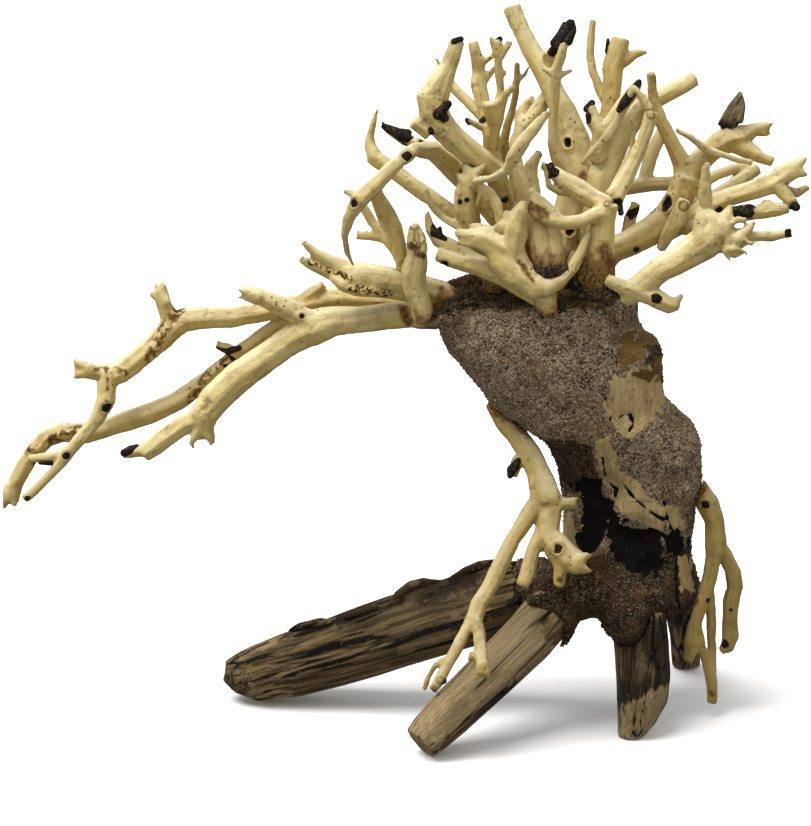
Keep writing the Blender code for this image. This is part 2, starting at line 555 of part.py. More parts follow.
def face_islands(model):
    """The mesh's faces, in groups that hang together."""
    unseen = dict.fromkeys(model.faces)
    while unseen:
        island = [unseen.popitem()[0]]
        for face in island:
            for edge in face.edges:
                for other in edge.link_faces if edge.is_manifold else ():
                    if other in unseen:
                        del unseen[other]
                        island.append(other)
        yield island


def area(faces):
    return sum(face.calc_area() for face in faces)


def keep_largest_body(piece):
    """Drops the chips that a cut leaves loose beside the main body."""
    model = bmesh.new()
    model.from_mesh(piece.data)
    islands = sorted(face_islands(model), key=area)
    for island in islands[:-1]:
        bmesh.ops.delete(model, geom=island, context="FACES")
    model.to_mesh(piece.data)
    model.free()


def is_closed(mesh):
    model = bmesh.new()
    model.from_mesh(mesh)
    closed = all(edge.is_manifold for edge in model.edges)
    model.free()
    return closed


def lighten(piece, share):
    """Keeps about this share of the piece's triangles, unless that would open its surface."""
    full_mesh = piece.data
    lighter = piece.modifiers.new("lighter", "DECIMATE")
    lighter.ratio = share
    apply_modifiers(piece)
    if not is_closed(piece.data):
        piece.data = full_mesh


def bounds(piece):
    corners = [vertex.co for vertex in piece.data.vertices]
    low = Vector(map(min, zip(*corners)))
    high = Vector(map(max, zip(*corners)))
    return low, high


def near(box, other_box):
    return all(
        box[0][axis] < other_box[1][axis] + GAP and other_box[0][axis] < box[1][axis] + GAP
        for axis in range(3)
    )


def trunk_loft(collection):
    """The trunk's outline as a skin through its rings, closed at both ends."""
    model = bmesh.new()
    rings = []
    for up, left, right, front, back in TRUNK_RINGS:
        centre, reach = sighted((left + right) / 2, up, (front - back) / 2)
        half_width = (right - left) / 2 * reach * UNIT
        half_depth = (front + back) / 2 * UNIT
        circle = []
        for side in range(RING_SIDES):
            turn = 2 * math.pi * side / RING_SIDES
            offset = Vector((math.cos(turn) * half_width, math.sin(turn) * half_depth, 0.0))
            circle.append(model.verts.new(centre + offset))
        rings.append(circle)
    for upper, lower in zip(rings, rings[1:]):
        for side in range(RING_SIDES):
            after = (side + 1) % RING_SIDES
            model.faces.new((upper[side], upper[after], lower[after], lower[side]))
    model.faces.new(rings[0])
    model.faces.new(rings[-1])
    bmesh.ops.recalc_face_normals(model, faces=model.faces)
    mesh = bpy.data.meshes.new("trunk")
    model.to_mesh(mesh)
    model.free()
    piece = bpy.data.objects.new("trunk", mesh)
    collection.objects.link(piece)
    return piece


def crusted_trunk(collection, cutters):
    """The trunk: its loft and lumps in one skin, uneven as its crust is, with its hollows cut."""
    trunk = trunk_loft(collection)
    lumps = [ellipsoid(f"lump_{i}", row[:3], row[3:], cutters) for i, row in enumerate(CRUST_LUMPS)]
    combined(trunk, lumps, "UNION")
    hollows = [ellipsoid(f"hollow_{i}", row[:3], row[3:], cutters) for i, row in enumerate(CHAR_HOLLOWS)]
    combined(trunk, hollows, "DIFFERENCE")
    skin = trunk.modifiers.new("skin", "REMESH")
    skin.mode = "VOXEL"
    skin.voxel_size = CRUST_CELL
    evened = trunk.modifiers.new("evened", "SMOOTH")
    evened.iterations = 2
    apply_modifiers(trunk)
    roughened(trunk.data, CRUST_LUMP, CRUST_RELIEF)
    lighten(trunk, TRUNK_SHARE)
    return trunk


def swollen_copy(piece, collection):
    """The piece grown by the gap, to cut its neighbours with. A corner moved along its mean
    normal ends nearer to the faces than that, so the corners move further."""
    mesh = piece.data.copy()
    normals = [Vector(vertex.normal) for vertex in mesh.vertices]
    for vertex, normal in zip(mesh.vertices, normals):
        vertex.co += normal * GAP * CORNER_SHARE
    copy = bpy.data.objects.new(piece.name + "_swollen", mesh)
    collection.objects.link(copy)
    return copy


def branch(name, limbs, collection, cutters, built):
    """One node: its limbs joined, then cut clear of every piece that was built before it."""
    main, *others = [limb(f"{name}_{i}" if i else name, run, cutters) for i, run in enumerate(limbs)]
    combined(main, others, "UNION")
    cutters.objects.unlink(main)
    collection.objects.link(main)
    own_box = bounds(main)
    for earlier, (box, earlier_limbs) in built.items():
        if not near(own_box, box):
            continue
        if earlier_limbs is None:
            swollen = [swollen_copy(bpy.data.objects[earlier], cutters)]
        else:
            swollen = [
                limb(f"{earlier}_swollen_{i}", run, cutters, swell=GAP)
                for i, run in enumerate(earlier_limbs)
            ]
        touching = [cutter for cutter in swollen if near(own_box, bounds(cutter))]
        for cutter in swollen:
            if cutter not in touching:
                bpy.data.objects.remove(cutter)
        combined(main, touching, "DIFFERENCE")
    keep_largest_body(main)
    if name in ROOTS:
        cut_at_floor(main, cutters)
    else:
        lighten(main, LIMB_SHARE)
    built[name] = (own_box, limbs)
    return main


def cut_at_floor(piece, cutters):
    """Takes off what would stand below the floor, which leaves a flat foot."""
    block = bmesh.new()
    bmesh.ops.create_cube(block, size=FLOOR_BLOCK)
    bmesh.ops.translate(block, verts=block.verts, vec=(0.0, 0.0, -FLOOR_BLOCK / 2))
    mesh = bpy.data.meshes.new("floor_block")
    block.to_mesh(mesh)
    block.free()
    cutter = bpy.data.objects.new("floor_block", mesh)
    cutters.objects.link(cutter)
    combined(piece, [cutter], "DIFFERENCE")


def centre_on_floor(pieces):
    """Moves everything so that the middle of the bounding box's underside is the origin."""
    boxes = [bounds(piece) for piece in pieces]
    low = Vector(map(min, zip(*(box[0] for box in boxes))))
    high = Vector(map(max, zip(*(box[1] for box in boxes))))
    shift = Vector((-(low.x + high.x) / 2, -(low.y + high.y) / 2, -low.z))
    for piece in pieces:
        for vertex in piece.data.vertices:
            vertex.co += shift
    return shift


def main():
    clear_scene()
    noise.seed_set(UNEVENNESS_SEED)
    tree = new_collection("bonsai_driftwood")
    cutters = new_collection("cutters")
    crust = new_material("glue_crust", (0.13, 0.10, 0.07), 0.85)
    log_wood = new_material("log_wood", (0.12, 0.075, 0.04), 0.8)
    peeled_wood = new_material("peeled_wood", (0.68, 0.55, 0.30), 0.6)
    dark_bark = new_material("dark_bark", (0.03, 0.022, 0.016), 0.8)

    trunk = crusted_trunk(tree, cutters)
    trunk.data.materials.append(crust)
    built = {"trunk": (bounds(trunk), None)}
    pieces = [trunk]
    for group in (ROOTS, DROOPING, ARMS, CROWN_FRONT, CROWN_BACK, CROWN_LEFT, CROWN_RIGHT):
        for name, limbs in group.items():
            piece = branch(name, limbs, tree, cutters, built)
            if group is ROOTS:
                piece.data.materials.append(log_wood)
            else:
                piece.data.materials.append(dark_bark if name in BARK_CHIPS else peeled_wood)
            pieces.append(piece)
    shift = centre_on_floor(pieces)
    for piece in pieces:
        piece.data.shade_smooth()
        piece.data.set_sharp_from_angle(angle=math.radians(50.0))
    return shift


SHIFT = main()
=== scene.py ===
"""Dresses the bonsai driftwood: carved and grained wood, a crust of crumbs, and the studio.

Places are given as the photograph shows them, (right, down) in its pixels from the top left
corner, and are carried onto the wood along the line of sight of the same camera.
"""

import math

import bpy
import numpy as np
from mathutils import Matrix, Vector
from mathutils.bvhtree import BVHTree


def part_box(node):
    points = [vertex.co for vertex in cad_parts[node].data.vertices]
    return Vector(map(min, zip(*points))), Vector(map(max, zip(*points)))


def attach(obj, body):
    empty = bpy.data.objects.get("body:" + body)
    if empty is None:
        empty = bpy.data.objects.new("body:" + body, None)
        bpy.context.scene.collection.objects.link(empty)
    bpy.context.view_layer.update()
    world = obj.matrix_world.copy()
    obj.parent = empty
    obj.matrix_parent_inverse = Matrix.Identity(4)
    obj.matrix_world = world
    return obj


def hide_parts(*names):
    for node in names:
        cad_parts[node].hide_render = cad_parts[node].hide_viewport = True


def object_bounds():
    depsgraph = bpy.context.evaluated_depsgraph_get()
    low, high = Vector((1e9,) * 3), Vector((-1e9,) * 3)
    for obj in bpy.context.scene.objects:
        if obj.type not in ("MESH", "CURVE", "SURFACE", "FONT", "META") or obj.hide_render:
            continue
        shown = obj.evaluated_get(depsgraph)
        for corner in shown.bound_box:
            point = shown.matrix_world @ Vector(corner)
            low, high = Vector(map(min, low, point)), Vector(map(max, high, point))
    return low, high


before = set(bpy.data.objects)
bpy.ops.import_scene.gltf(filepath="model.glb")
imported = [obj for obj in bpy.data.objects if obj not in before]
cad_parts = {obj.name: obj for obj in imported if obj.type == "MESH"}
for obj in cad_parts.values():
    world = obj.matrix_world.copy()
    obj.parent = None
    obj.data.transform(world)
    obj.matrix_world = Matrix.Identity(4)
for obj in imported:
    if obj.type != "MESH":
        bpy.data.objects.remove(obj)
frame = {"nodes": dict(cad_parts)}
cad_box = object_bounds()

bl_info = {
    "name": "Bonsai driftwood",
    "version": (1, 0, 0),
    "blender": (4, 5, 0),
    "location": "View3D > Sidebar > Driftwood",
    "description": "Dresses a small tree put together from driftwood",
    "category": "Object",
}

# The camera's survey of the tree
PIXEL = 0.307 / 808.0  # metres on the sight plane for one pixel
TILT = math.radians(16.0)
EYE_DISTANCE = 1.0
PICTURE_HEIGHT = 826.0
PICTURE_MIDDLE = (405.5, 413.0)
TREE_FOOT = (600.0, 705.0)  # the pixel of the sight plane's origin
TREE_SHIFT = Vector((0.076458, 0.007385, 0.0))
RIGHT = Vector((1.0, 0.0, 0.0))
UPWARD = Vector((0.0, math.sin(TILT), math.cos(TILT)))
TOWARD_EYE = Vector((0.0, -math.cos(TILT), math.sin(TILT)))
EYE = (
    RIGHT * (PICTURE_MIDDLE[0] - TREE_FOOT[0]) * PIXEL
    + UPWARD * (TREE_FOOT[1] - PICTURE_MIDDLE[1]) * PIXEL
    + TOWARD_EYE * EYE_DISTANCE
    + TREE_SHIFT
)

MM = 0.001
GLUE_SWELL = 0.00022  # closes the gap between the nodes of one piece of wood
WELD_GAP = 0.00001
CHIP_CELL = 0.0004  # mesh size on the bark chips
BIT_CELL = 0.00028  # mesh size on the bits of bark
FLOOR_DROP = 0.0002

# Pieces of peeled wood: name, nodes, tint (0 white, 1 yellow, 2 brown), flutes round the limb
DROOPING = (
    ("drooping_front_wood", "drooping_front drooping_front_left drooping_front_right", 1.35, 1.5),
    ("drooping_right_wood", "drooping_right drooping_right_inner drooping_right_outer", 1.5, 1.5),
)
ARMS = (
    ("arm_front_wood", "arm_front arm_front_outer arm_front_prong", 0.5, 1.6),
    ("arm_back_wood", "arm_back arm_back_outer arm_back_lower", 0.6, 1.6),
    ("arm_low_wood", "arm_low", 0.6, 1.6),
)
CROWN = (
    ("flared_wood", "flared_branch", 0.65, 1.8), ("finger_wood", "finger_branch", 0.45, 1.3),
    ("thorn_wood", "thorn_branch", 0.6, 1.3), ("tall_left_wood", "tall_branch_left", 0.7, 1.5),
    ("hook_wood", "hook_branch", 0.35, 1.3), ("cork_wood", "cork_branch", 0.7, 1.6),
    ("back_twig_left_wood", "back_twig_left", 0.6, 1.2), ("stump_wood", "stump_branch", 0.5, 1.4),
    ("thick_stub_wood", "thick_stub", 0.5, 1.6), ("cluster_wood", "cluster_branch", 0.8, 1.3),
    ("white_twig_left_wood", "white_twig_left", 0.1, 1.2), ("dark_twig_wood", "dark_twig", 1.6, 1.2),
    ("curved_wood", "curved_branch", 0.35, 1.3), ("pale_stub_wood", "pale_stub", 0.3, 1.3),
    ("crown_stem_wood", "crown_stem", 0.4, 1.5), ("slanting_wood", "slanting_branch", 0.5, 1.5),
    ("forked_wood", "forked_branch", 0.35, 1.3), ("front_stick_wood", "front_stick", 0.3, 1.3),
    ("thick_upright_wood", "thick_upright", 1.1, 1.4), ("thin_upright_wood", "thin_upright", 0.7, 1.2),
    ("back_crosspiece_wood", "back_crosspiece", 0.5, 1.3), ("bow_wood", "bow_branch bow_arm", 0.5, 1.5),
    ("pointed_stick_wood", "pointed_stick", 0.3, 1.2),
    ("white_twig_right_wood", "white_twig_right", 0.05, 1.2),
    ("cup_wood", "cup_branch cup_crest", 0.55, 1.8),
    ("right_stem_wood", "right_stem right_stem_inner right_stem_outer", 1.25, 1.5),
    ("crossing_twig_wood", "crossing_twig", 0.2, 1.2), ("long_right_wood", "long_right_branch", 0.45, 1.4),
    ("lower_right_wood", "lower_right_branch", 0.55, 1.3),
    ("back_twig_right_wood", "back_twig_right", 0.5, 1.3),
    ("front_right_wood", "front_right_branch front_right_tip", 0.4, 1.6), ("shard_wood", "shard", 0.3, 1.3),
    ("plank_wood", "plank", 0.35, 1.5),
)
BARK_CHIPS = (("bark_top", "bark_chip_top"), ("bark_right", "bark_chip_right"))
# Root logs: name, node, how dark (-1 pale to 1 black), how rugged
ROOT_LOGS = (
    ("root_left_log", "root_left", 0.42, 1.0),
    ("root_front_log", "root_front", -0.8, 0.35),
    ("root_right_front_log", "root_right_front", 0.85, 0.5),
    ("root_right_back_log", "root_right_back", 0.1, 0.6),
)

# Marks on peeled wood by kind: radius in pixels, and the place or the line of places it covers
MARKS = {
    "knot": (
        (6.5, (108, 408)), (5, (66, 456)), (4.5, (422, 142)), (6.5, (407, 156)), (5.5, (355, 203)),
        (3, (404, 145)), (4.5, (484, 120)), (3, (467, 120)), (4.5, (482, 189)), (5.5, (505, 200)),
        (4.5, (636, 250)), (4, (665, 209)), (4.5, (719, 209)), (4, (791, 233)), (6, (795, 206)),
        (5, (445, 263)), (3.5, (460, 202)), (3, (467, 200)), (6, (558, 549)), (5, (705, 505)),
        (3.5, (708, 600)), (2.5, (731, 610)), (3.5, (302, 316)), (3.5, (225, 366)), (4, (462, 171)),
    ),
    "burl": ((9, (440, 132)),),
    "char": (
        (5, (440, 112)), (5.5, (656, 299)), (5, (632, 214), (650, 208)), (3.5, (36, 463), (56, 463)),
        (6, (385, 127), (398, 130), (408, 135)), (5, (515, 467)), (5, (788, 233)), (5, (725, 645)),
    ),
    # Holes: shallow carved dents whose black core is painted shade
    "hole": (
        (5.5, (567, 143)), (3, (593, 164)), (5.5, (570, 231)), (6.5, (618, 203)), (7.5, (667, 203)),
        (2.5, (493, 258)),
    ),
    "stain": (
        (6, (583, 175)), (6, (463, 172), (470, 168)), (7, (530, 206), (545, 214)),
        # The first stain on this line, in the dark bowl behind the cup, is painted shade
        (9, (536, 262), (548, 268), (562, 264)), (6, (402, 310), (408, 322)), (5, (433, 690)),
        (4, (560, 580)), (4, (711, 694)), (9, (604, 250), (610, 264)), (4, (520, 262), (532, 280)),
        (5, (410, 246), (424, 256)), (3.5, (480, 168), (470, 166)),
    ),
    "ring": ((4, (607, 204)), (6, (684, 206)), (5, (651, 114)), (4, (440, 680))),
    "bark": ((8, (740, 213), (748, 211)),),
    # The scoop is a carved hollow, browned with painted shade
    "scoop": ((6.5, (416, 229), (419, 246)),),
    "scar": ((10, (204, 402)),),
    "mottle": (
        (7, (150, 358), (163, 330), (180, 308)), (4, (96, 371), (113, 369), (128, 374)),
        (4, (110, 375), (108, 400)), (5, (225, 357), (205, 378), (190, 400)),
        (7, (30, 450), (55, 438), (80, 430)), (7, (536, 200), (546, 208)),
    ),
    "speckle": ((3.2, (310, 262), (328, 270), (350, 278)), (4.5, (352, 289), (388, 293))),
}

# Pieces that are clean down to the crust
CLEAN = ("drooping_front_wood", "drooping_right_wood", "cup_wood", "front_right_wood")

# Pieces that glue browns near the crust: from which row of the photograph, and from where fully
BROWNED = {
    "bow_wood": (236, 282), "cup_wood": (298, 325), "finger_wood": (300, 345),
    "right_stem_wood": (250, 300), "thick_stub_wood": (225, 270), "curved_wood": (225, 270),
    "crown_stem_wood": (225, 275),
}

# Dark and pale regions of the logs: kind, node, and the corners of the outline in the photograph
LOG_REGIONS = (
    ("pale", "root_right_front", ((612, 712), (622, 704), (640, 700), (655, 688), (672, 682),
                                  (672, 735), (640, 745), (612, 745))),
    ("dark", "root_right_front", ((640, 618), (666, 612), (672, 665), (655, 672), (644, 650))),
    ("pale", "root_right_front", ((640, 600), (668, 604), (660, 622), (646, 622))),
    ("pale", "root_left", ((236, 652), (312, 621), (318, 628), (262, 652), (240, 661))),
    ("pale", "root_left", ((400, 640), (450, 618), (490, 606), (490, 616), (430, 642), (396, 652))),
    ("pale", "root_left", ((250, 684), (292, 690), (290, 706), (250, 706))),
    ("dark", "root_left", ((330, 612), (420, 580), (480, 562), (480, 590), (400, 608), (340, 632))),
    ("dark", "root_front", ((572, 640), (556, 644), (438, 744), (440, 756), (456, 752))),
    ("dark", "root_front", ((540, 616), (575, 618), (568, 655), (546, 640))),
    ("dark", "root_right_back", ((668, 604), (684, 604), (684, 626), (668, 626))),
)

# Regions of the trunk: kind, and the corners of the outline that the photograph shows
REGIONS = (
    ("amber", ((622, 338), (640, 326), (668, 336), (672, 366), (656, 382), (636, 378), (616, 372))),
    ("tan", ((612, 376), (646, 366), (666, 384), (664, 412), (640, 436), (616, 432), (604, 404))),
    ("tan", ((592, 440), (606, 438), (622, 470), (640, 486), (668, 512), (664, 530), (640, 524),
             (614, 504), (600, 480))),
    ("strip", ((560, 508), (574, 512), (580, 546), (566, 552))),
    ("strip", ((676, 556), (690, 552), (694, 590), (680, 592))),
    # The next regions darken the crust with painted shade, in its recesses and under the crown; the last of
    # them covers the collar, darker towards the bottom like the whole lower trunk
    ("dim", ((518, 256), (578, 256), (578, 288), (518, 288))),
    ("dim", ((640, 330), (676, 320), (680, 380), (664, 396), (650, 384))),
    ("dim", ((540, 440), (592, 440), (600, 482), (575, 500), (548, 480))),
    ("dim", ((430, 252), (500, 262), (545, 290), (600, 256), (640, 282), (612, 304), (540, 312),
             (470, 308), (430, 322))),
    ("dim", ((540, 560), (700, 540), (700, 660), (540, 660))),
    ("char", ((566, 486), (586, 478), (602, 480), (612, 504), (610, 524), (600, 540), (592, 556),
              (580, 566), (577, 540), (584, 512), (578, 494))),
    ("char", ((610, 508), (622, 520), (640, 530), (662, 534), (664, 560), (656, 576), (636, 572),
              (616, 560), (606, 536))),
    ("char", ((660, 534), (676, 530), (690, 540), (684, 556), (668, 556))),
    ("strip", ((662, 500), (680, 508), (686, 528), (668, 530))),
    # Cracks: thin grooves painted black with the char, as painted shade in them
    ("crack", ((602, 458), (606, 480), (617, 489), (612, 503))),
    ("crack", ((624, 486), (636, 500), (651, 513), (664, 520))),
    ("crack", ((605, 398), (609, 408), (611, 420))),
    ("crack", ((620, 417), (630, 414), (634, 424), (628, 434))),
    ("crack", ((664, 500), (668, 520), (678, 540), (676, 580), (680, 610))),
)

# Forms grown on a piece of wood or on the crust: the piece, a place on what they stand on (None
# where each stands on its own first place), and the forms. A form is how far behind that surface
# its middle line runs, in millimetres, and the line as (right, down, radius) in pixels.
GROWTHS = (
    ("cup_wood", (505, 262), (
        (3, (494, 245, 12), (502, 260, 13), (515, 275, 12), (534, 287, 11)),
        (3, (514, 240, 9), (516, 254, 8), (523, 267, 8), (540, 284, 8)),
        (2, (519, 236, 8), (514, 218, 6.5), (520, 207, 4), (523, 201, 2)),
        (1.5, (512, 226, 5), (501, 227, 5.5), (506, 213, 2.5)),
        (2, (492, 241, 7), (476, 235, 4.5), (462, 236, 2)),
        (1.5, (490, 231, 5), (479, 226, 3), (470, 225, 1.8)),
        (1, (493, 249, 6), (476, 244, 3.5), (460, 243, 1.8)),
        (3, (546, 288, 8), (561, 280, 6), (573, 267, 5), (581, 252, 4), (587, 236, 3)),
    )),
    ("bow_wood", (545, 222), (
        (1.5, (557, 217, 5), (546, 207, 6), (536, 201, 6), (531, 192, 4)),
        (6, (537, 214, 7), (538, 238, 9), (542, 262, 9), (543, 284, 9)),
        (8, (552, 222, 6), (552, 240, 9), (556, 262, 10), (556, 284, 9)),
        (0.3, (531, 193, 2.2), (533, 191, 2.2)), (0, (538, 196, 2.5), (539, 198, 2.2)),
        (0.3, (543, 199, 2.4), (545, 202, 2.6)), (0, (533, 203, 2.6), (534, 206, 2.4)),
        (-0.2, (541, 206, 2.6), (544, 209, 2.6)), (0.3, (550, 207, 2.2), (553, 211, 2.4)),
    )),
    ("flared_wood", (370, 280), (
        (4, (326, 266, 6), (342, 272, 9), (362, 278, 13)),
        (2, (333, 279, 3), (343, 285, 5.5), (357, 290, 6), (376, 291, 6)),
    )),
    ("front_right_wood", (700, 240), (
        (3, (700, 236, 8), (701, 221, 6), (699, 208, 2.5)),
        (3, (714, 232, 9), (713, 219, 7), (708, 211, 3)),
        (3, (724, 232, 9), (726, 217, 6.5), (730, 206, 2.5)),
        (2, (736, 240, 7), (745, 232, 5), (752, 225, 3)),
        (2.5, (727, 248, 6), (735, 254, 4), (742, 253, 2)),
    )),
    ("front_right_wood", (665, 298), (
        (2, (668, 301, 5), (676, 302, 3), (682, 297, 1)), (3, (668, 306, 4), (679, 306, 1.2)),
    )),
    ("front_right_wood", (700, 240), (
        (1, (728, 226, 3), (738, 219, 2.5), (744, 221, 2), (747, 217, 1)),
        (1, (732, 240, 3), (744, 240, 2.5), (751, 244, 2), (756, 241, 1)),
        (0.5, (728, 250, 3), (737, 249, 2.5), (744, 251, 1.6), (747, 255, 0.9)),
        (1, (722, 226, 2.5), (727, 240, 2.5), (726, 254, 2), (731, 262, 1)),
    )),
    ("front_right_wood", (665, 298), ((2, (668, 303, 3), (678, 298, 1.6), (683, 293, 0.7)),)),
    ("right_stem_wood", (716, 140), ((4, (716, 142, 8), (730, 142, 10), (745, 146, 7), (758, 152, 4)),)),
    ("right_stem_wood", None, (
        (1.5, (758, 129, 4), (767, 126, 3), (772, 124, 1.2)),
        (1.5, (758, 131, 4), (765, 133, 3), (770, 134, 1.2)),
    )),
    ("lower_right_wood", (760, 210), ((2, (758, 212, 5), (767, 205, 5.5), (776, 210, 6), (782, 207, 4)),)),
    ("arm_back_wood", (168, 303), (
        (0, (166, 303, 5), (159, 293, 3.5), (156, 286, 1.2)),
        (1, (167, 301, 4), (165, 291, 2.5), (163, 283, 0.9)),
        (0.5, (163, 303, 4), (155, 296, 2.5), (150, 292, 1)),
    )),
    ("arm_back_wood", None, (
        (1, (90, 368, 5), (79, 364, 4), (75, 361, 2)), (1.5, (90, 371, 5), (80, 374, 4), (75, 378, 1.5)),
    )),
    ("arm_front_wood", (256, 296), (
        (0.5, (258, 297, 5), (246, 292, 4), (240, 290, 1.5)),
        (1.5, (256, 300, 4), (246, 298, 3), (239, 297, 1)),
    )),
    ("arm_front_wood", None, (
        (1.5, (198, 430, 5), (193, 440, 3), (191, 445, 1.2)),
        (1.5, (205, 430, 5), (210, 440, 3), (212, 446, 1.2)),
    )),
    ("arm_low_wood", None, (
        (1, (11, 492, 6), (6, 500, 4), (4, 506, 2)), (1, (14, 493, 5), (14, 502, 3.5), (16, 506, 1.5)),
        (1.5, (12, 486, 6), (4, 494, 3), (2, 497, 1.5)),
    )),
    ("drooping_front_wood", None, (
        (1, (563, 504, 4), (573, 500, 2.5), (578, 498, 1)),
        (1, (563, 506, 3.5), (572, 506, 2.5), (578, 507, 1)),
        (1.5, (576, 562, 7), (584, 557, 4), (589, 555, 2)),
        (1.5, (576, 566, 7), (584, 569, 4), (589, 571, 2)),
        (1, (482, 664, 5), (487, 672, 3.5), (488, 678, 2)),
        (1, (481, 666, 5), (479, 674, 3.5), (477, 680, 1.5)),
    )),
    ("long_right_wood", None, (
        (2, (790, 170, 7), (799, 163, 5), (806, 159, 2)), (2, (791, 174, 6), (800, 172, 4), (805, 175, 2)),
    )),
    ("crust", (545, 222), ((3.5, (528, 270, 6), (542, 273, 7), (556, 272, 7), (566, 268, 5)),)),
    ("crust", (552, 608), ((2, (532, 601, 6), (545, 602, 9), (560, 608, 9), (572, 620, 8)),)),
    ("crust", (560, 625), ((2.5, (572, 622, 7), (568, 636, 5), (561, 646, 3)),)),
    ("crust", (614, 312), ((1, (606, 306, 5), (614, 312, 6), (622, 318, 5)),)),
    ("crust", (480, 320), ((6, (430, 322, 4), (440, 318, 8), (455, 309, 12), (472, 302, 13)),)),
    ("crust", (455, 300), ((3, (442, 306, 6), (452, 298, 8), (466, 296, 9)),)),
    ("crust", (480, 320), ((12, (452, 286, 7), (470, 281, 8), (490, 288, 9)),)),
    ("crust", (592, 296), ((2.5, (572, 282, 7), (586, 292, 10), (604, 293, 11), (622, 301, 9)),)),
    ("crust", (548, 262), ((0.5, (536, 268, 7), (548, 268, 8), (562, 266, 7)),)),
    ("root_left_log", (330, 632), ((1.5, (290, 631, 3), (300, 627, 5), (320, 622, 5), (331, 622, 3)),)),
    ("root_left_log", (372, 614), ((1.5, (345, 617, 3), (356, 612, 5), (370, 607, 5), (377, 608, 3)),)),
    ("root_left_log", (412, 598), (
        (2.5, (392, 602, 3), (399, 594, 5), (411, 586, 6), (424, 582, 5), (436, 583, 3)),
    )),
    ("root_left_log", (470, 580), ((2.5, (450, 579, 3), (466, 571, 5), (480, 565, 5), (497, 561, 3)),)),
    ("root_right_front_log", None, (
        (0.3, (645, 704, 1.6), (644, 697, 0.8)), (0.3, (652, 700, 1.8), (653, 692, 0.8)),
        (0.3, (660, 694, 1.8), (660, 686, 0.8)), (0.3, (634, 708, 1.6), (632, 702, 0.8)),
    )),
    ("bark_right", (735, 112), (
        (1, (738, 97, 2.5), (741, 98, 3), (743, 106, 3), (740, 120, 4)),
        (1, (720, 124, 2.5), (727, 113, 3.5), (735, 101, 3)),
    )),
    ("bark_top", (566, 34), (
        (1, (572, 22, 3), (573, 30, 4), (569, 42, 4), (560, 47, 3)),
        (1, (564, 24, 2.5), (560, 34, 3.5), (553, 43, 3.5)),
    )),
    ("stump_wood", (470, 190), (
        (1.5, (470, 174, 6), (465, 167, 3.5)), (1.5, (474, 174, 5), (482, 167, 3), (485, 166, 1.6)),
        (1, (463, 182, 4), (458, 175, 2)), (0, (476, 180, 3), (480, 194, 2), (477, 206, 1)),
        (0, (479, 183, 3), (486, 196, 1.6), (484, 207, 0.8)),
        (0.5, (478, 186, 5), (490, 194, 4.5), (498, 207, 4.5), (500, 221, 4)),
    )),
    ("cluster_wood", None, (
        (1, (488, 113, 3.5), (484, 105, 2.4), (483, 101, 1.2)), (1, (489, 117, 3), (495, 111, 1.6)),
    )),
)

# Bits of black bark and charred ends: lines of (right, down, radius) in pixels
BARK_BITS = (
    ((448, 104, 4), (438, 114, 6)), ((436, 108, 3), (444, 118, 5)), ((432, 124, 3), (431, 131, 4)),
    ((414, 142, 3), (402, 136, 6), (390, 129, 4)), ((400, 131, 3), (408, 133, 4)),
    ((455, 42, 4), (461, 39, 3)), ((497, 42, 3.5), (500, 39, 3)), ((485, 119, 3.5), (482, 122, 4)),
    ((467, 120, 2.5), (469, 123, 2.5)), ((608, 40, 2), (607, 52, 2.5)),
    ((592, 103, 3.5), (587, 109, 4)), ((588, 115, 3), (589, 121, 3)),
    ((639, 82, 3), (633, 91, 5), (625, 102, 5), (619, 110, 3)),
    ((570, 23, 4), (565, 34, 6), (558, 45, 4)), ((573, 33, 3), (567, 43, 4)),
    ((735, 211, 5), (747, 213, 5)), ((792, 205, 4), (796, 207, 4.5)), ((717, 210, 2.5), (720, 210, 3)),
    ((619, 198, 3), (621, 213, 3)), ((430, 221, 2), (434, 233, 4.5), (445, 239, 2.5)),
    ((440, 228, 2), (439, 236, 4)), ((545, 167, 4), (555, 173, 5)), ((551, 165, 3), (549, 176, 3)),
    ((518, 461, 3.5), (512, 470, 5.5), (510, 476, 3)), ((509, 604, 4), (518, 598, 5), (525, 589, 3)),
    ((218, 347, 2.5), (228, 351, 4), (239, 348, 3)), ((228, 351, 3), (233, 358, 3.5)),
    ((124, 453, 4), (131, 450, 5), (137, 447, 3)), ((31, 494, 3), (27, 498, 3)),
    ((437, 684, 2.5), (444, 681, 3)), ((40, 463, 2), (52, 463, 3)),
)


def to_sight(points):
    """Where the camera sees these points, in pixels, as two arrays."""
    offsets = points - np.array(EYE)
    depth = -offsets @ np.array(TOWARD_EYE)
    right = PICTURE_MIDDLE[0] + offsets @ np.array(RIGHT) / depth * EYE_DISTANCE / PIXEL
    down = PICTURE_MIDDLE[1] - offsets @ np.array(UPWARD) / depth * EYE_DISTANCE / PIXEL
    return right, down


def sight_ray(place):
    """The direction in which the camera sees this pixel."""
    right, down = place
    ray = RIGHT * (right - PICTURE_MIDDLE[0]) * PIXEL - UPWARD * (down - PICTURE_MIDDLE[1]) * PIXEL
    return (ray - TOWARD_EYE * EYE_DISTANCE).normalized()


def survey_tree(nodes):
    """The nodes' triangles in one search tree, and the node that each triangle is of."""
    corners, faces, owners = [], [], []
    for name in nodes:
        mesh = frame["nodes"][name].data
        first = len(corners)
        corners.extend(vertex.co.copy() for vertex in mesh.vertices)
        for polygon in mesh.polygons:
            faces.append([first + index for index in polygon.vertices])
            owners.append(name)
    return BVHTree.FromPolygons(corners, faces), owners


SURVEY, OWNERS = survey_tree(frame["nodes"])


def first_seen(place):
    """The point, normal and node that the camera sees at this pixel, or None."""
    point, normal, index, _ = SURVEY.ray_cast(EYE, sight_ray(place))
    return None if point is None else (point, normal, OWNERS[index])


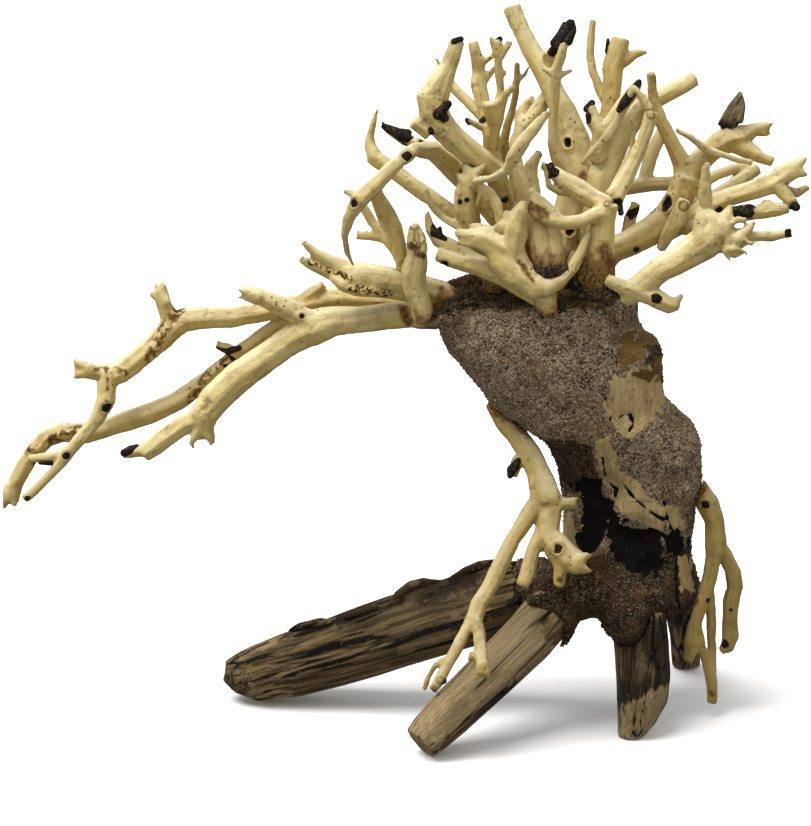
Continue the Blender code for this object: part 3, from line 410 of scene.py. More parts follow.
def select_only(*objects):
    bpy.ops.object.select_all(action="DESELECT")
    for obj in objects:
        obj.select_set(True)
    bpy.context.view_layer.objects.active = objects[0]


def apply_modifiers(obj):
    select_only(obj)
    for modifier in list(obj.modifiers):
        bpy.ops.object.modifier_apply(modifier=modifier.name)


def place_at(place, anchor, behind):
    """The point under a pixel at the distance of the wood seen at the anchor, and behind it."""
    seen = first_seen(anchor)
    if seen is None:
        raise RuntimeError(f"The camera sees no wood at {anchor}")
    distance = (EYE - seen[0]).dot(TOWARD_EYE) + behind
    ray = sight_ray(place)
    return EYE + ray * (distance / -ray.dot(TOWARD_EYE))


def ball_shape(subdivisions):
    """The points and faces of a ball of radius 1."""
    bpy.ops.object.select_all(action="DESELECT")
    bpy.ops.mesh.primitive_ico_sphere_add(subdivisions=subdivisions, radius=1.0)
    ball = bpy.context.object
    points = np.array([vertex.co[:] for vertex in ball.data.vertices])
    faces = np.array([list(polygon.vertices) for polygon in ball.data.polygons])
    bpy.ops.object.delete()
    return points, faces


def mesh_object(name, points, faces):
    mesh = bpy.data.meshes.new(name)
    mesh.from_pydata(points.reshape(-1, 3).tolist(), [], faces.reshape(-1, faces.shape[-1]).tolist())
    obj = bpy.data.objects.new(name, mesh)
    bpy.context.scene.collection.objects.link(obj)
    return obj


def nearest_seen(line):
    """The place nearest to a line's middle where the camera sees wood."""
    right, down = line[len(line) // 2][:2]
    for reach in range(0, 12):
        for turn in range(8):
            angle = turn * math.pi / 4
            place = (right + reach * math.cos(angle), down + reach * math.sin(angle))
            if first_seen(place):
                return place
    raise RuntimeError(f"The camera sees no wood near {(right, down)}")


def rows_of_balls(rows):
    """Rows of overlapping balls that a skin will close over, one row along each line."""
    centres, radii = [], []
    for anchor, behind, line in rows:
        anchor = anchor or line[0][:2]
        for start, end in zip(line, line[1:]):
            length = math.hypot(end[0] - start[0], end[1] - start[1])
            steps = max(2, math.ceil(length / (0.35 * min(start[2], end[2]) + 0.6)))
            for step in range(steps + 1):
                right, down, radius = (a + (b - a) * step / steps for a, b in zip(start, end))
                centres.append(place_at((right, down), anchor, behind * MM))
                radii.append(radius * PIXEL)
    points, faces = ball_shape(2)
    centres = np.array(centres)
    placed = centres[:, None, :] + points[None] * np.array(radii)[:, None, None]
    index = faces[None] + (np.arange(len(centres)) * len(points))[:, None, None]
    return placed, index


def growths_on(name):
    """The forms grown on this piece, or None."""
    groups = [(anchor, forms) for piece, anchor, forms in GROWTHS if piece == name]
    rows = [(anchor, behind, line) for anchor, forms in groups for behind, *line in forms]
    return mesh_object(name, *rows_of_balls(rows)) if rows else None


def skin_over(obj, cell):
    """Closes one even skin over all the shapes of an object."""
    skin = obj.modifiers.new("skin", "REMESH")
    skin.mode = "VOXEL"
    skin.voxel_size = cell
    apply_modifiers(obj)


def fused_copy(name, nodes, cell, swell):
    """The nodes' shapes as one fine, even skin. The nodes themselves are left alone."""
    grown_forms = growths_on(name)
    copies = [grown_forms] if grown_forms else []
    for node in nodes:
        copy = bpy.data.objects.new(name, frame["nodes"][node].data.copy())
        bpy.context.scene.collection.objects.link(copy)
        copies.append(copy)
    select_only(*copies)
    if len(copies) > 1:
        bpy.ops.object.join()
    wood = copies[0]
    wood.data.materials.clear()
    weld = wood.modifiers.new("weld", "WELD")
    weld.merge_threshold = WELD_GAP
    if swell:
        grown = wood.modifiers.new("grown", "DISPLACE")
        grown.strength = swell
        grown.mid_level = 0.0
    skin_over(wood, cell)
    wood.name = name
    wood.data.name = name
    return wood


def hashed(cells, seed):
    """A random number from 0 to 1 for each whole-numbered cell."""
    x, y, z = (cells[:, axis] for axis in range(3))
    value = (x * 73856093) ^ (y * 19349663) ^ (z * 83492791) ^ (seed * 2654435 + 1013904223)
    value = ((value ^ (value >> 13)) * 1274126177) & 0xFFFFFFFF
    value = ((value ^ (value >> 15)) * 2246822519) & 0xFFFFFFFF
    return ((value ^ (value >> 16)) & 0xFFFFFF) / 0xFFFFFF


def value_noise(points, seed=0):
    """Smooth noise from -1 to 1, one lump to a unit."""
    cells = np.floor(points).astype(np.int64)
    part = points - cells
    part = part * part * (3 - 2 * part)
    total = np.zeros(len(points))
    for corner in np.ndindex(2, 2, 2):
        share = np.ones(len(points))
        for axis in range(3):
            share *= part[:, axis] if corner[axis] else 1 - part[:, axis]
        total += share * hashed(cells + np.array(corner), seed)
    return total * 2 - 1


def layered_noise(points, layers, seed=0):
    return sum(value_noise(points * 2**i, seed + i) / 2**i for i in range(layers))


def cell_noise(points, seed=0):
    """Distance to the nearest of scattered seeds, one to a unit cell."""
    cells = np.floor(points).astype(np.int64)
    nearest = np.full(len(points), 9.0)
    for step in np.ndindex(3, 3, 3):
        there = cells + np.array(step) - 1
        seeds = there + np.stack([hashed(there, seed + axis) for axis in range(3)], axis=1)
        nearest = np.minimum(nearest, np.linalg.norm(points - seeds, axis=1))
    return nearest


def ramp(value, low, high):
    """0 below low, 1 above high, smooth between."""
    part = np.clip((value - low) / (high - low), 0, 1)
    return part * part * (3 - 2 * part)


def read_array(data, name, width, kind=np.float32):
    """One property of a mesh's points or edges, a row for each."""
    flat = np.empty(len(data) * width, kind)
    data.foreach_get(name, flat)
    return flat.reshape(-1, width)


def paint_mesh(mesh, **layers):
    """Stores these values of a mesh's points under their names."""
    for name, values in layers.items():
        single = values.ndim == 1
        layer = mesh.attributes.new(name, "FLOAT" if single else "FLOAT_VECTOR", "POINT")
        layer.data.foreach_set("value" if single else "vector", values.astype(np.float32).ravel())


def longest_way(points):
    """The direction in which a shape is longest."""
    return np.linalg.eigh(np.cov(points.T))[1][:, 2]


SYMMETRIC = ((0, 0), (0, 1), (0, 2), (1, 1), (1, 2), (2, 2))


class Skin:
    """A mesh's points as arrays, to carve it, with what is painted on it as attributes."""

    def __init__(self, obj):
        self.mesh = obj.data
        self.count = len(self.mesh.vertices)
        self.points = read_array(self.mesh.vertices, "co", 3).astype(np.float64)
        self.pairs = read_array(self.mesh.edges, "vertices", 2, np.int32)
        self.degree = np.maximum(np.bincount(self.pairs.ravel(), minlength=self.count), 1)

    def neighbour_mean(self, values):
        ends, others = self.pairs.T
        out = np.empty_like(values)
        for column in range(values.shape[1]):
            value = values[:, column]
            out[:, column] = np.bincount(ends, value[others], self.count)
            out[:, column] += np.bincount(others, value[ends], self.count)
        return out / self.degree[:, None]

    def blurred(self, values, rounds):
        flat = values.ndim == 1
        values = values[:, None] if flat else values
        for _ in range(rounds):
            values = (values + self.neighbour_mean(values)) / 2
        return values[:, 0] if flat else values

    def even_out(self, rounds, keep=1.0):
        """Takes the facets off. A last step back keeps thin limbs from shrinking."""
        self.points = self.blurred(self.points, rounds)
        pull = self.neighbour_mean(self.points) - self.points
        self.points -= self.blurred(pull, 2) * rounds / 2 * keep

    def write(self):
        """Puts the points back in the mesh, none of them outside the box of the CAD model."""
        self.points = np.clip(self.points, *cad_box)
        self.mesh.vertices.foreach_set("co", self.points.astype(np.float32).ravel())
        self.mesh.update()

    def normals(self):
        self.write()
        return read_array(self.mesh.vertex_normals, "vector", 3).astype(np.float64)

    def push(self, amount, directions=None):
        """Moves the points out along their normals by these amounts, in metres."""
        directions = self.normals() if directions is None else directions
        self.points += directions * amount[:, None]

    def ends(self, rounds):
        """1 on the ends of limbs, where the normals spread every way, 0 along their sides."""
        normals = self.normals()
        spread = np.stack([normals[:, i] * normals[:, j] for i, j in SYMMETRIC], axis=1)
        spread = self.blurred(spread, rounds)
        whole = np.zeros((self.count, 3, 3))
        for (i, j), column in zip(SYMMETRIC, spread.T):
            whole[:, i, j] = whole[:, j, i] = column
        least = np.linalg.eigvalsh(whole)[:, 0]
        return ramp(least, 0.035, 0.09) * ramp(-self.hollowness(rounds), 0.02, 0.12)

    def hollowness(self, rounds):
        """Above 0 in a hollow, below 0 on a ridge, in millimetres."""
        normals = self.normals()
        pull = self.blurred(self.points, rounds) - self.points
        return (pull * normals).sum(axis=1) / MM

    def noise(self, size, layers, seed):
        """Noise at the points, one lump to this many millimetres."""
        return layered_noise(self.points / (size * MM), layers, seed)

    def paint(self, **layers):
        paint_mesh(self.mesh, **layers)


def distance_to_line(right, down, line):
    """Distance in pixels from seen points to a line of places."""
    best = np.full(len(right), 1e9)
    if len(line) == 1:
        return np.hypot(right - line[0][0], down - line[0][1])
    for (x0, y0), (x1, y1) in zip(line, line[1:]):
        run_x, run_y = x1 - x0, y1 - y0
        part = ((right - x0) * run_x + (down - y0) * run_y) / (run_x**2 + run_y**2)
        part = np.clip(part, 0, 1)
        best = np.minimum(best, np.hypot(right - x0 - part * run_x, down - y0 - part * run_y))
    return best


def depth_inside(right, down, outline):
    """How far inside an outline seen points are, in pixels, below 0 outside it."""
    inside = np.zeros(len(right), bool)
    for (x0, y0), (x1, y1) in zip(outline, outline[1:] + outline[:1]):
        crosses = (y0 > down) != (y1 > down)
        with np.errstate(divide="ignore", invalid="ignore"):
            edge = (x1 - x0) * (down - y0) / (y1 - y0) + x0
        inside ^= crosses & (right < edge)
    away = distance_to_line(right, down, outline + outline[:1])
    return np.where(inside, away, -away)


def nearness_to(node, points, reach):
    """1 on a node's surface, 0 farther from it than reach, in metres."""
    tree, _ = survey_tree((node,))
    low, high = (np.array(corner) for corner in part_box(node))
    close = np.all((points > low - reach) & (points < high + reach), axis=1)
    near = np.zeros(len(points))
    for index in np.flatnonzero(close):
        _, _, _, distance = tree.find_nearest(Vector(points[index]), reach)
        if distance is not None:
            near[index] = 1 - distance / reach
    return near


def marks_on(nodes):
    """The marks whose first place the camera sees on one of these nodes."""
    found = []
    for kind, rows in MARKS.items():
        for radius, *line in rows:
            seen = first_seen(line[0])
            if seen and seen[2] in nodes:
                found.append((kind, radius * PIXEL, line, np.array(seen[0])))
    return found


def carve_marks(skin, nodes):
    """Knots, holes, scars and stains, where the photograph shows them, with painted shade in the holes and
    hollows.
    """
    knot = np.zeros(skin.count)
    stain = np.zeros(skin.count)
    relief = np.zeros(skin.count)
    normals = skin.normals()
    right, down = to_sight(skin.points)
    faces_eye = ramp(normals @ np.array(TOWARD_EYE), -0.25, 0.05)
    wobble = skin.noise(1.6, 3, 40)
    for kind, radius, line, centre in marks_on(nodes):
        if len(line) == 1 and kind in ("knot", "hole", "ring", "burl", "scar"):
            away = np.linalg.norm(skin.points - centre, axis=1) / radius + wobble * 0.2
        else:
            away = distance_to_line(right, down, line) * PIXEL / radius + wobble * 0.4
            away = away + (1 - faces_eye) * 3
        core = 1 - ramp(away, 0.55, 0.95)
        rim = np.exp(-(((away - 1.05) / 0.28) ** 2))
        dark = brown = raised = 0.0
        if kind == "knot":
            dark, brown, raised = core, rim * 0.45, rim * 0.13 - core * 0.16
        elif kind == "hole":
            # The black core of a hole is painted shade in the carved dent
            dark, raised = core * 1.4, rim * 0.15 - core * 0.55
        elif kind == "ring":
            brown = np.maximum(np.exp(-(((away - 0.75) / 0.25) ** 2)) * 0.75, core * 0.35)
            raised = core * 0.12
        elif kind == "burl":
            dark, brown = core * 0.25, core * (0.5 + 0.4 * wobble)
            raised = core * (0.25 + 0.2 * wobble)
        elif kind == "scar":
            brown = core * (0.45 + 0.5 * wobble)
            raised = core * 0.09 * wobble + rim * 0.05
        elif kind == "scoop":
            # The brown in the scoop is painted shade in the hollow
            brown = core * (0.35 + 0.25 * wobble)
            raised = rim * 0.2 * MM / radius - core * 0.45
        elif kind == "speckle":
            brown = (1 - ramp(away, 0.5, 1.3)) * ramp(skin.noise(0.55, 2, 45), -0.25, 0.3)
            dark = brown * 0.5
        elif kind == "mottle":
            spots = ramp(wobble, -0.35, 0.2) * (1 - ramp(away, 0.7, 1.4))
            dark, brown = ramp(wobble, 0.35, 0.7) * spots * 0.5, spots * 0.8
        elif kind == "bark":
            cover = 1 - ramp(away, 0.7, 1.1)
            dark, raised = cover * 0.8, cover * (0.35 + 0.5 * wobble) * MM / radius
        elif kind == "char":
            dark = 1 - ramp(away, 0.7, 1.15)
        else:
            brown = (1 - ramp(away, 0.3, 1.3)) * 0.8
        # knot gathers the dark marks, the painted shade of holes among them; stain the brown ones, the
        # painted shade of hollows among them
        knot = np.maximum(knot, dark)
        stain = np.maximum(stain, brown)
        relief += raised * radius
    skin.push(relief, normals)
    return knot, stain


def glue_stain(points, reach):
    """How strongly glue and crumbs have browned the wood next to the trunk."""
    near = nearness_to("trunk", points, reach)
    wobble = layered_noise(points / (2.2 * MM), 4, 97)
    return ramp(near + wobble * 0.26, 0.25, 0.95)


def peeled_piece(name, nodes, tint, flutes, cell):
    """One piece of peeled wood, fluted along its grain, with its knots, pores and torn ends."""
    wood = fused_copy(name, nodes, cell, GLUE_SWELL)
    skin = Skin(wood)
    skin.even_out(rounds=24, keep=0.9)
    smooth = skin.blurred(skin.normals(), 10)
    smooth /= np.linalg.norm(smooth, axis=1)[:, None] + 1e-9
    along = skin.points / MM
    grain = smooth * 5.0 + along / 9.0
    flute = layered_noise(smooth * flutes + along / 14.0, 3, 3)
    ridge = layered_noise(grain, 3, 5)
    lump = value_noise(along / 4.0, 8)
    tip = skin.blurred(skin.ends(10), 2)
    torn = layered_noise(along / 0.9, 2, 21)
    dents = ramp(layered_noise(along / 2.6, 2, 11), 0.35, 0.8)
    skin.push((flute * 0.17 + ridge * 0.05 + lump * 0.2 - dents * 0.22 + tip * torn * 0.5) * MM)
    knot, stain = carve_marks(skin, nodes)
    glue = glue_stain(skin.points, (5 if name in CLEAN else 14) * MM)
    if name in BROWNED:
        first, last = BROWNED[name]
        _, down = to_sight(skin.points)
        ragged = skin.noise(2.0, 4, 99) * 9
        glue = np.maximum(glue, ramp(down + ragged, first, last))
    skin.paint(
        # How far each point faces up, for a painted highlight on the tops of branches and painted shade on
        # their undersides
        grain=grain, tip=tip, glue=glue, lift=smooth[:, 2], tint=np.full(skin.count, tint),
        knot=np.clip(knot, 0, 1), stain=np.clip(stain, 0, 1),
        # Above 0 in creases, which get painted shade, below 0 on ridges, which get a painted highlight
        hollow=np.clip(skin.hollowness(10) * 3.5, -1, 1),
    )
    finish_piece(wood, peeled_wood, nodes)


def finish_piece(obj, dress, nodes=()):
    """Gives a finished piece its material, made on first use, and ties it to the frame."""
    name = f"{dress.__name__}_look"
    if name not in bpy.data.materials:
        dress(Paint(name))
    obj.data.materials.clear()
    obj.data.materials.append(bpy.data.materials[name])
    obj.data.shade_smooth()
    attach(obj, "root")
    if nodes:
        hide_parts(*nodes)


def new_node(tree, kind, inputs=(), **settings):
    node = tree.nodes.new(kind)
    for name, value in settings.items():
        setattr(node, name, value)
    for key, value in dict(inputs).items():
        socket = node.inputs[key]
        if isinstance(value, bpy.types.NodeSocket):
            tree.links.new(value, socket)
        else:
            socket.default_value = value
    return node


class Paint:
    """A material's nodes, and the colour that they mix so far."""

    def __init__(self, name):
        self.material = bpy.data.materials.new(name)
        self.material.use_nodes = True
        self.tree = self.material.node_tree
        self.base = None

    def node(self, kind, inputs=(), **settings):
        return new_node(self.tree, kind, inputs, **settings)

    def place(self):
        return self.node("ShaderNodeTexCoord").outputs["Object"]

    def attribute(self, name, output="Fac"):
        return self.node("ShaderNodeAttribute", attribute_name=name).outputs[output]

    def noise(self, vector, scale, detail=3.0, roughness=0.5):
        inputs = {"Vector": vector, "Scale": scale, "Detail": detail, "Roughness": roughness}
        return self.node("ShaderNodeTexNoise", inputs).outputs["Fac"]

    def step(self, factor, low, high, to_low=0.0, to_high=1.0):
        inputs = {"Value": factor, "From Min": low, "From Max": high, "To Min": to_low, "To Max": to_high}
        return self.node("ShaderNodeMapRange", inputs, interpolation_type="SMOOTHSTEP").outputs[0]

    def maths(self, operation, first, second):
        return self.node("ShaderNodeMath", {0: first, 1: second}, operation=operation).outputs[0]

    def add(self, first, second):
        return self.maths("ADD", first, second)

    def less(self, first, second):
        return self.maths("SUBTRACT", first, second)

    def times(self, first, second):
        return self.maths("MULTIPLY", first, second)

    def colour(self, value):
        """A colour by its name in the sidebar, or as three numbers, or what a node gives."""
        if isinstance(value, str):
            value = tuple(getattr(bpy.context.scene.driftwood, value))
        return (*value, 1.0) if isinstance(value, tuple) else value

    def mix(self, factor, first, second, blend="MIX"):
        inputs = {0: factor, 6: self.colour(first), 7: self.colour(second)}
        return self.node("ShaderNodeMix", inputs, data_type="RGBA", blend_type=blend).outputs[2]

    def band(self, factor, stops):
        """Colours along a factor from 0 to 1."""
        node = self.node("ShaderNodeValToRGB", {"Fac": factor})
        band = node.color_ramp
        while len(band.elements) < len(stops):
            band.elements.new(0.5)
        for element, (place, value) in zip(band.elements, stops):
            element.position = place
            element.color = self.colour(value)
        return node.outputs["Color"]

    def cover(self, factor, colour, blend="MIX"):
        self.base = self.mix(factor, self.base, colour, blend)

    def tones(self, *rows):
        """Lays on colours one after the other: what by, from, to, how strongly, which."""
        for value, low, high, strength, colour in rows:
            self.cover(self.step(value, low, high, 0.0, strength), colour)

    def finish(self, roughness, specular, height=None, distance=0.0, strength=1.0):
        inputs = self.tree.nodes["Principled BSDF"].inputs
        inputs["Metallic"].default_value = 0.0
        inputs["Roughness"].default_value = roughness
        inputs["Specular IOR Level"].default_value = specular
        self.tree.links.new(self.base, inputs["Base Color"])
        if height:
            bump = {"Height": height, "Distance": distance, "Strength": strength}
            self.tree.links.new(self.node("ShaderNodeBump", bump).outputs[0], inputs["Normal"])


def peeled_wood(paint):
    """Dry wood with its bark off: cream and straw yellow, grained, with brown pores and knots, a painted
    highlight on its tops and ridges, and painted shade on its undersides and in its creases.
    """
    place = paint.place()
    grain = paint.attribute("grain", "Vector")
    tint, hollow, glue, stain = map(paint.attribute, ("tint", "hollow", "glue", "stain"))
    fibre = paint.noise(grain, 1.3, 5.0, 0.6)
    hair = paint.noise(grain, 4.5, 3.0, 0.6)
    streak = paint.noise(grain, 0.6, 3.0, 0.55)
    cloud = paint.noise(place, 55.0, 3.0)
    warm = paint.add(tint, paint.times(paint.less(cloud, 0.5), 1.5))
    lift = paint.add(paint.attribute("lift"), paint.times(cloud, 0.4))
    paint.base = paint.mix(paint.step(warm, 0.0, 1.0), "peeled_white", "peeled_yellow")
    paint.tones(
        (fibre, 0.35, 0.75, 0.55, "peeled_grain"),
        (streak, 0.56, 0.72, 0.5, "peeled_streak"),
        (hair, 0.60, 0.74, 0.45, "peeled_streak"),
        # Painted highlight on the tops that face up, painted shade on the undersides
        (lift, 0.2, 1.2, 0.75, "peeled_bleached"),
        (lift, 0.1, -0.8, 0.4, "peeled_grain"),
        (paint.noise(place, 95.0, 3.0, 0.6), 0.5, 0.72, 0.4, "peeled_streak"),
        # Painted shade in creases and hollows, and a painted highlight on ridges
        (hollow, 0.1, 0.9, 0.75, "peeled_streak"),
        (hollow, -0.1, -0.8, 0.35, "peeled_white"),
        (tint, 0.8, 2.0, 0.75, "peeled_streak"),
        (paint.noise(place, 230.0, 4.0, 0.65), 0.58, 0.72, 0.55, "peeled_streak"),
    )
    pores = paint.node("ShaderNodeTexVoronoi", {"Vector": place, "Scale": 360.0}).outputs["Distance"]
    thin_out = paint.step(paint.noise(place, 60.0, 2.0), 0.46, 0.62)
    pores = paint.times(paint.step(pores, 0.19, 0.09), thin_out)
    paint.cover(paint.times(pores, 0.8), "knot_brown")
    specks = paint.add(paint.noise(place, 900.0, 3.0, 0.7), paint.times(glue, 0.28))
    paint.tones((glue, 0.0, 0.6, 0.85, "glue_brown"), (specks, 0.70, 0.84, 0.9, "knot_brown"))
    rough = paint.noise(place, 900.0, 3.0)
    paint.cover(paint.times(paint.attribute("tip"), paint.step(rough, 0.35, 0.7, 0.1, 0.7)), "torn_end")
    spots = paint.add(stain, paint.noise(place, 600.0, 4.0, 0.7))
    # Stains, and the painted shade of the scoop and of the bowl behind the cup
    paint.tones((stain, 0.05, 0.8, 0.85, "glue_brown"), (spots, 1.1, 1.45, 0.9, "knot_brown"))
    core = paint.mix(paint.step(rough, 0.45, 0.75, 0.0, 0.8), "knot_black", "knot_brown")
    # Dark marks: knots, char and bark, and the painted shade in holes
    paint.cover(paint.step(paint.attribute("knot"), 0.2, 0.75), core)
    height = paint.add(paint.times(fibre, 0.7), paint.times(hair, -0.4))
    paint.finish(0.6, 0.1, paint.less(height, paint.times(pores, 0.6)), 0.0008, 0.8)


def log_wood(paint):
    """Dark weathered log wood: fibrous, with painted shade, near black, in its cracks and a painted
    highlight on its ridges.
    """
    grain = paint.attribute("grain", "Vector")
    relief = paint.attribute("relief")
    fibre = paint.noise(grain, 2.2, 5.0, 0.65)
    speck = paint.noise(paint.place(), 1100.0, 2.0)
    paint.base = paint.mix(paint.step(fibre, 0.3, 0.7), "log_brown", "log_pale")
    paint.tones((paint.noise(grain, 0.5, 3.0, 0.6), 0.42, 0.62, 0.85, "log_dark"))
    pale = paint.mix(paint.step(fibre, 0.35, 0.7), "log_grain", "log_tan")
    paint.cover(paint.times(paint.attribute("pale"), 0.95), pale)
    paint.cover(paint.attribute("dark"), "log_black")
    paint.tones(
        # Painted highlight on the ridges, then painted shade, near black, in the cracks
        (relief, 0.2, 1.0, 0.6, "log_pale"),
        (relief, -0.12, -0.6, 1.0, (0.005, 0.003, 0.002)),
        (speck, 0.62, 0.75, 0.35, "log_pale"),
    )
    paint.finish(0.66, 0.1, paint.add(fibre, paint.times(speck, 0.4)), 0.0007, 0.8)


def crust(paint):
    """Wood crumbs in glue over the trunk, with charred, rusty and bare wood patches, and painted shade in
    its hollows, gaps and recesses.
    """
    place = paint.place()
    dim = paint.attribute("dim")
    grains = paint.node("ShaderNodeTexVoronoi", {"Vector": place, "Scale": 1900.0}).outputs
    chance = paint.node("ShaderNodeSeparateColor", {0: grains["Color"]}).outputs[0]
    blotch = paint.times(paint.less(paint.noise(place, 210.0, 4.0, 0.7), 0.5), 1.6)
    # Painted shade, and the lower trunk, shift the grains to darker colours
    chance = paint.less(paint.add(chance, blotch), paint.times(dim, 0.45))
    paint.base = paint.band(chance, (
        (0.0, (0.016, 0.010, 0.005)), (0.3, "crust_dark"), (0.62, "crust_brown"),
        (0.9, "crust_pale"), (1.0, (0.47, 0.39, 0.28)),
    ))
    paint.tones(
        # Painted shade in the gaps between the grains
        (grains["Distance"], 0.45, 0.85, 0.4, (0.022, 0.014, 0.007)),
        (paint.noise(place, 480.0, 4.0, 0.75), 0.60, 0.68, 0.85, (0.02, 0.011, 0.005)),
        (paint.noise(place, 75.0, 5.0, 0.65), 0.48, 0.66, 0.55, "crust_rust"),
    )
    # Painted shade, and the lower trunk, multiply the crust with rust
    paint.cover(paint.step(dim, 0.2, 1.0, 0.0, 0.55), "crust_rust", "MULTIPLY")
    # Painted shade in the hollows of the crust
    paint.cover(paint.attribute("deep"), (0.016, 0.010, 0.006))
    streaks = paint.node("ShaderNodeMapping", {"Vector": place, "Scale": (600.0, 600.0, 70.0)})
    wood = paint.noise(streaks.outputs[0], 1.0, 5.0, 0.7)
    tan = paint.mix(paint.step(wood, 0.35, 0.7), "tan_wood", "tan_shade")
    grime = paint.step(paint.noise(place, 150.0, 5.0, 0.65), 0.52, 0.70, 0.0, 0.7)
    speck = paint.step(paint.noise(place, 1500.0, 1.0), 0.76, 0.80, 0.0, 0.8)
    paint.tones(
        (paint.attribute("tan"), 0.35, 0.65, 1.0, paint.mix(grime, tan, "crust_dark")),
        (paint.attribute("amber"), 0.35, 0.65, 1.0,
         paint.mix(paint.noise(place, 190.0, 4.0, 0.7), (0.035, 0.02, 0.008), "amber")),
        (paint.attribute("char"), 0.35, 0.6, 1.0,
         paint.mix(speck, (0.003, 0.0025, 0.002), (0.35, 0.32, 0.28))),
    )
    paint.finish(0.75, 0.12, paint.less(1.0, grains["Distance"]), 0.0006, 0.7)


def crumb(paint):
    """Loose-looking crumbs, fibres and glue beads, each of one shade."""
    paint.base = paint.band(paint.attribute("shade"), (
        (0.0, (0.014, 0.009, 0.005)), (0.3, "crust_dark"), (0.6, "crust_brown"),
        (0.85, "crust_pale"), (1.0, (0.50, 0.43, 0.32)),
    ))
    paint.finish(0.7, 0.1)


def bark(paint):
    """Black bark with a brown split grain."""
    fibre = paint.noise(paint.attribute("grain", "Vector"), 1.6, 5.0, 0.65)
    black = paint.mix(paint.step(fibre, 0.45, 0.75), (0.008, 0.0055, 0.004), (0.11, 0.078, 0.042))
    brown = paint.mix(paint.step(fibre, 0.35, 0.65), (0.07, 0.048, 0.024), (0.21, 0.16, 0.09))
    paint.base = paint.mix(paint.attribute("brown"), black, brown)
    paint.finish(0.75, 0.12, fibre, 0.0008, 0.9)


def fineness(name, description, default, smallest):
    return bpy.props.FloatProperty(
        name=name, description=description, default=default, min=smallest, unit="LENGTH"
    )


def colour(name, description, default):
    return bpy.props.FloatVectorProperty(
        name=name, description=description, default=default, subtype="COLOR"
    )


class DriftwoodLook(bpy.types.PropertyGroup):
    """Sizes and colours of the driftwood"""

    peeled_cell: fineness("Peeled wood fineness", "Mesh size on the peeled branches", 0.00045, 0.0002)
    log_cell: fineness("Log fineness", "Mesh size on the root logs", 0.00052, 0.0002)
    trunk_cell: fineness("Crust fineness", "Mesh size on the trunk", 0.0007, 0.0003)
    crumbs: bpy.props.IntProperty(
        name="Crumbs", description="Number of crumbs stuck on the trunk", default=9000, min=0,
    )
    peeled_white: colour("White wood", "Palest peeled wood", (0.72, 0.59, 0.28))
    # Painted highlight: the colour of the tops of branches where the light falls on them
    peeled_bleached: colour("Bleached wood", "Tops of branches", (0.82, 0.735, 0.47))
    peeled_yellow: colour("Straw wood", "Yellower peeled wood", (0.61, 0.45, 0.145))
    # Grain lines, and also the painted shade on the undersides of branches
    peeled_grain: colour("Grain", "Fine grain lines", (0.50, 0.355, 0.11))
    # Dark streaks, and also the painted shade in creases
    peeled_streak: colour("Streaks", "Dark streaks and creases", (0.20, 0.125, 0.032))
    torn_end: colour("Torn ends", "Broken ends of branches", (0.33, 0.22, 0.08))
    knot_brown: colour("Brown marks", "Stains and rims of knots", (0.06, 0.032, 0.010))
    # Black of knots and char, and also the painted shade in holes
    knot_black: colour("Black marks", "Knots and charred ends", (0.008, 0.005, 0.003))
    # Glue stain, and also the painted shade in the scoop and the bowl
    glue_brown: colour("Glue stain", "Glue browned wood at the trunk", (0.22, 0.11, 0.025))
    log_brown: colour("Log brown", "Middle brown of the logs", (0.14, 0.088, 0.034))
    # Pale grain of the logs, and also the painted highlight on their ridges
    log_pale: colour("Log pale", "Ridges of the logs", (0.33, 0.235, 0.11))
    log_tan: colour("Log tan", "Clean wood of the front log", (0.42, 0.32, 0.17))
    log_grain: colour("Log grain", "Grain of the front log", (0.22, 0.155, 0.075))
    log_dark: colour("Log dark", "Dark bands of the logs", (0.03, 0.018, 0.008))
    log_black: colour("Log black", "Blackest wood of the logs", (0.012, 0.008, 0.005))
    crust_dark: colour("Crust dark", "Dark crumbs", (0.145, 0.102, 0.056))
    crust_brown: colour("Crust brown", "Brown crumbs", (0.285, 0.212, 0.128))
    crust_pale: colour("Crust pale", "Pale crumbs", (0.41, 0.33, 0.225))
    # Rusty tint, and also the colour that painted shade multiplies the crust by
    crust_rust: colour("Rust", "Rusty tint in the crust", (0.17, 0.085, 0.035))
    tan_wood: colour("Bare wood", "Bare wood on the trunk", (0.52, 0.39, 0.18))
    tan_shade: colour("Bare wood grain", "Grain of the bare wood", (0.33, 0.22, 0.09))
    amber: colour("Amber", "Glue soaked wood", (0.30, 0.17, 0.045))


def dress_peeled(rows):
    cell = bpy.context.scene.driftwood.peeled_cell
    for name, nodes, tint, flutes in rows:
        peeled_piece(name, nodes.split(), tint, flutes, cell)


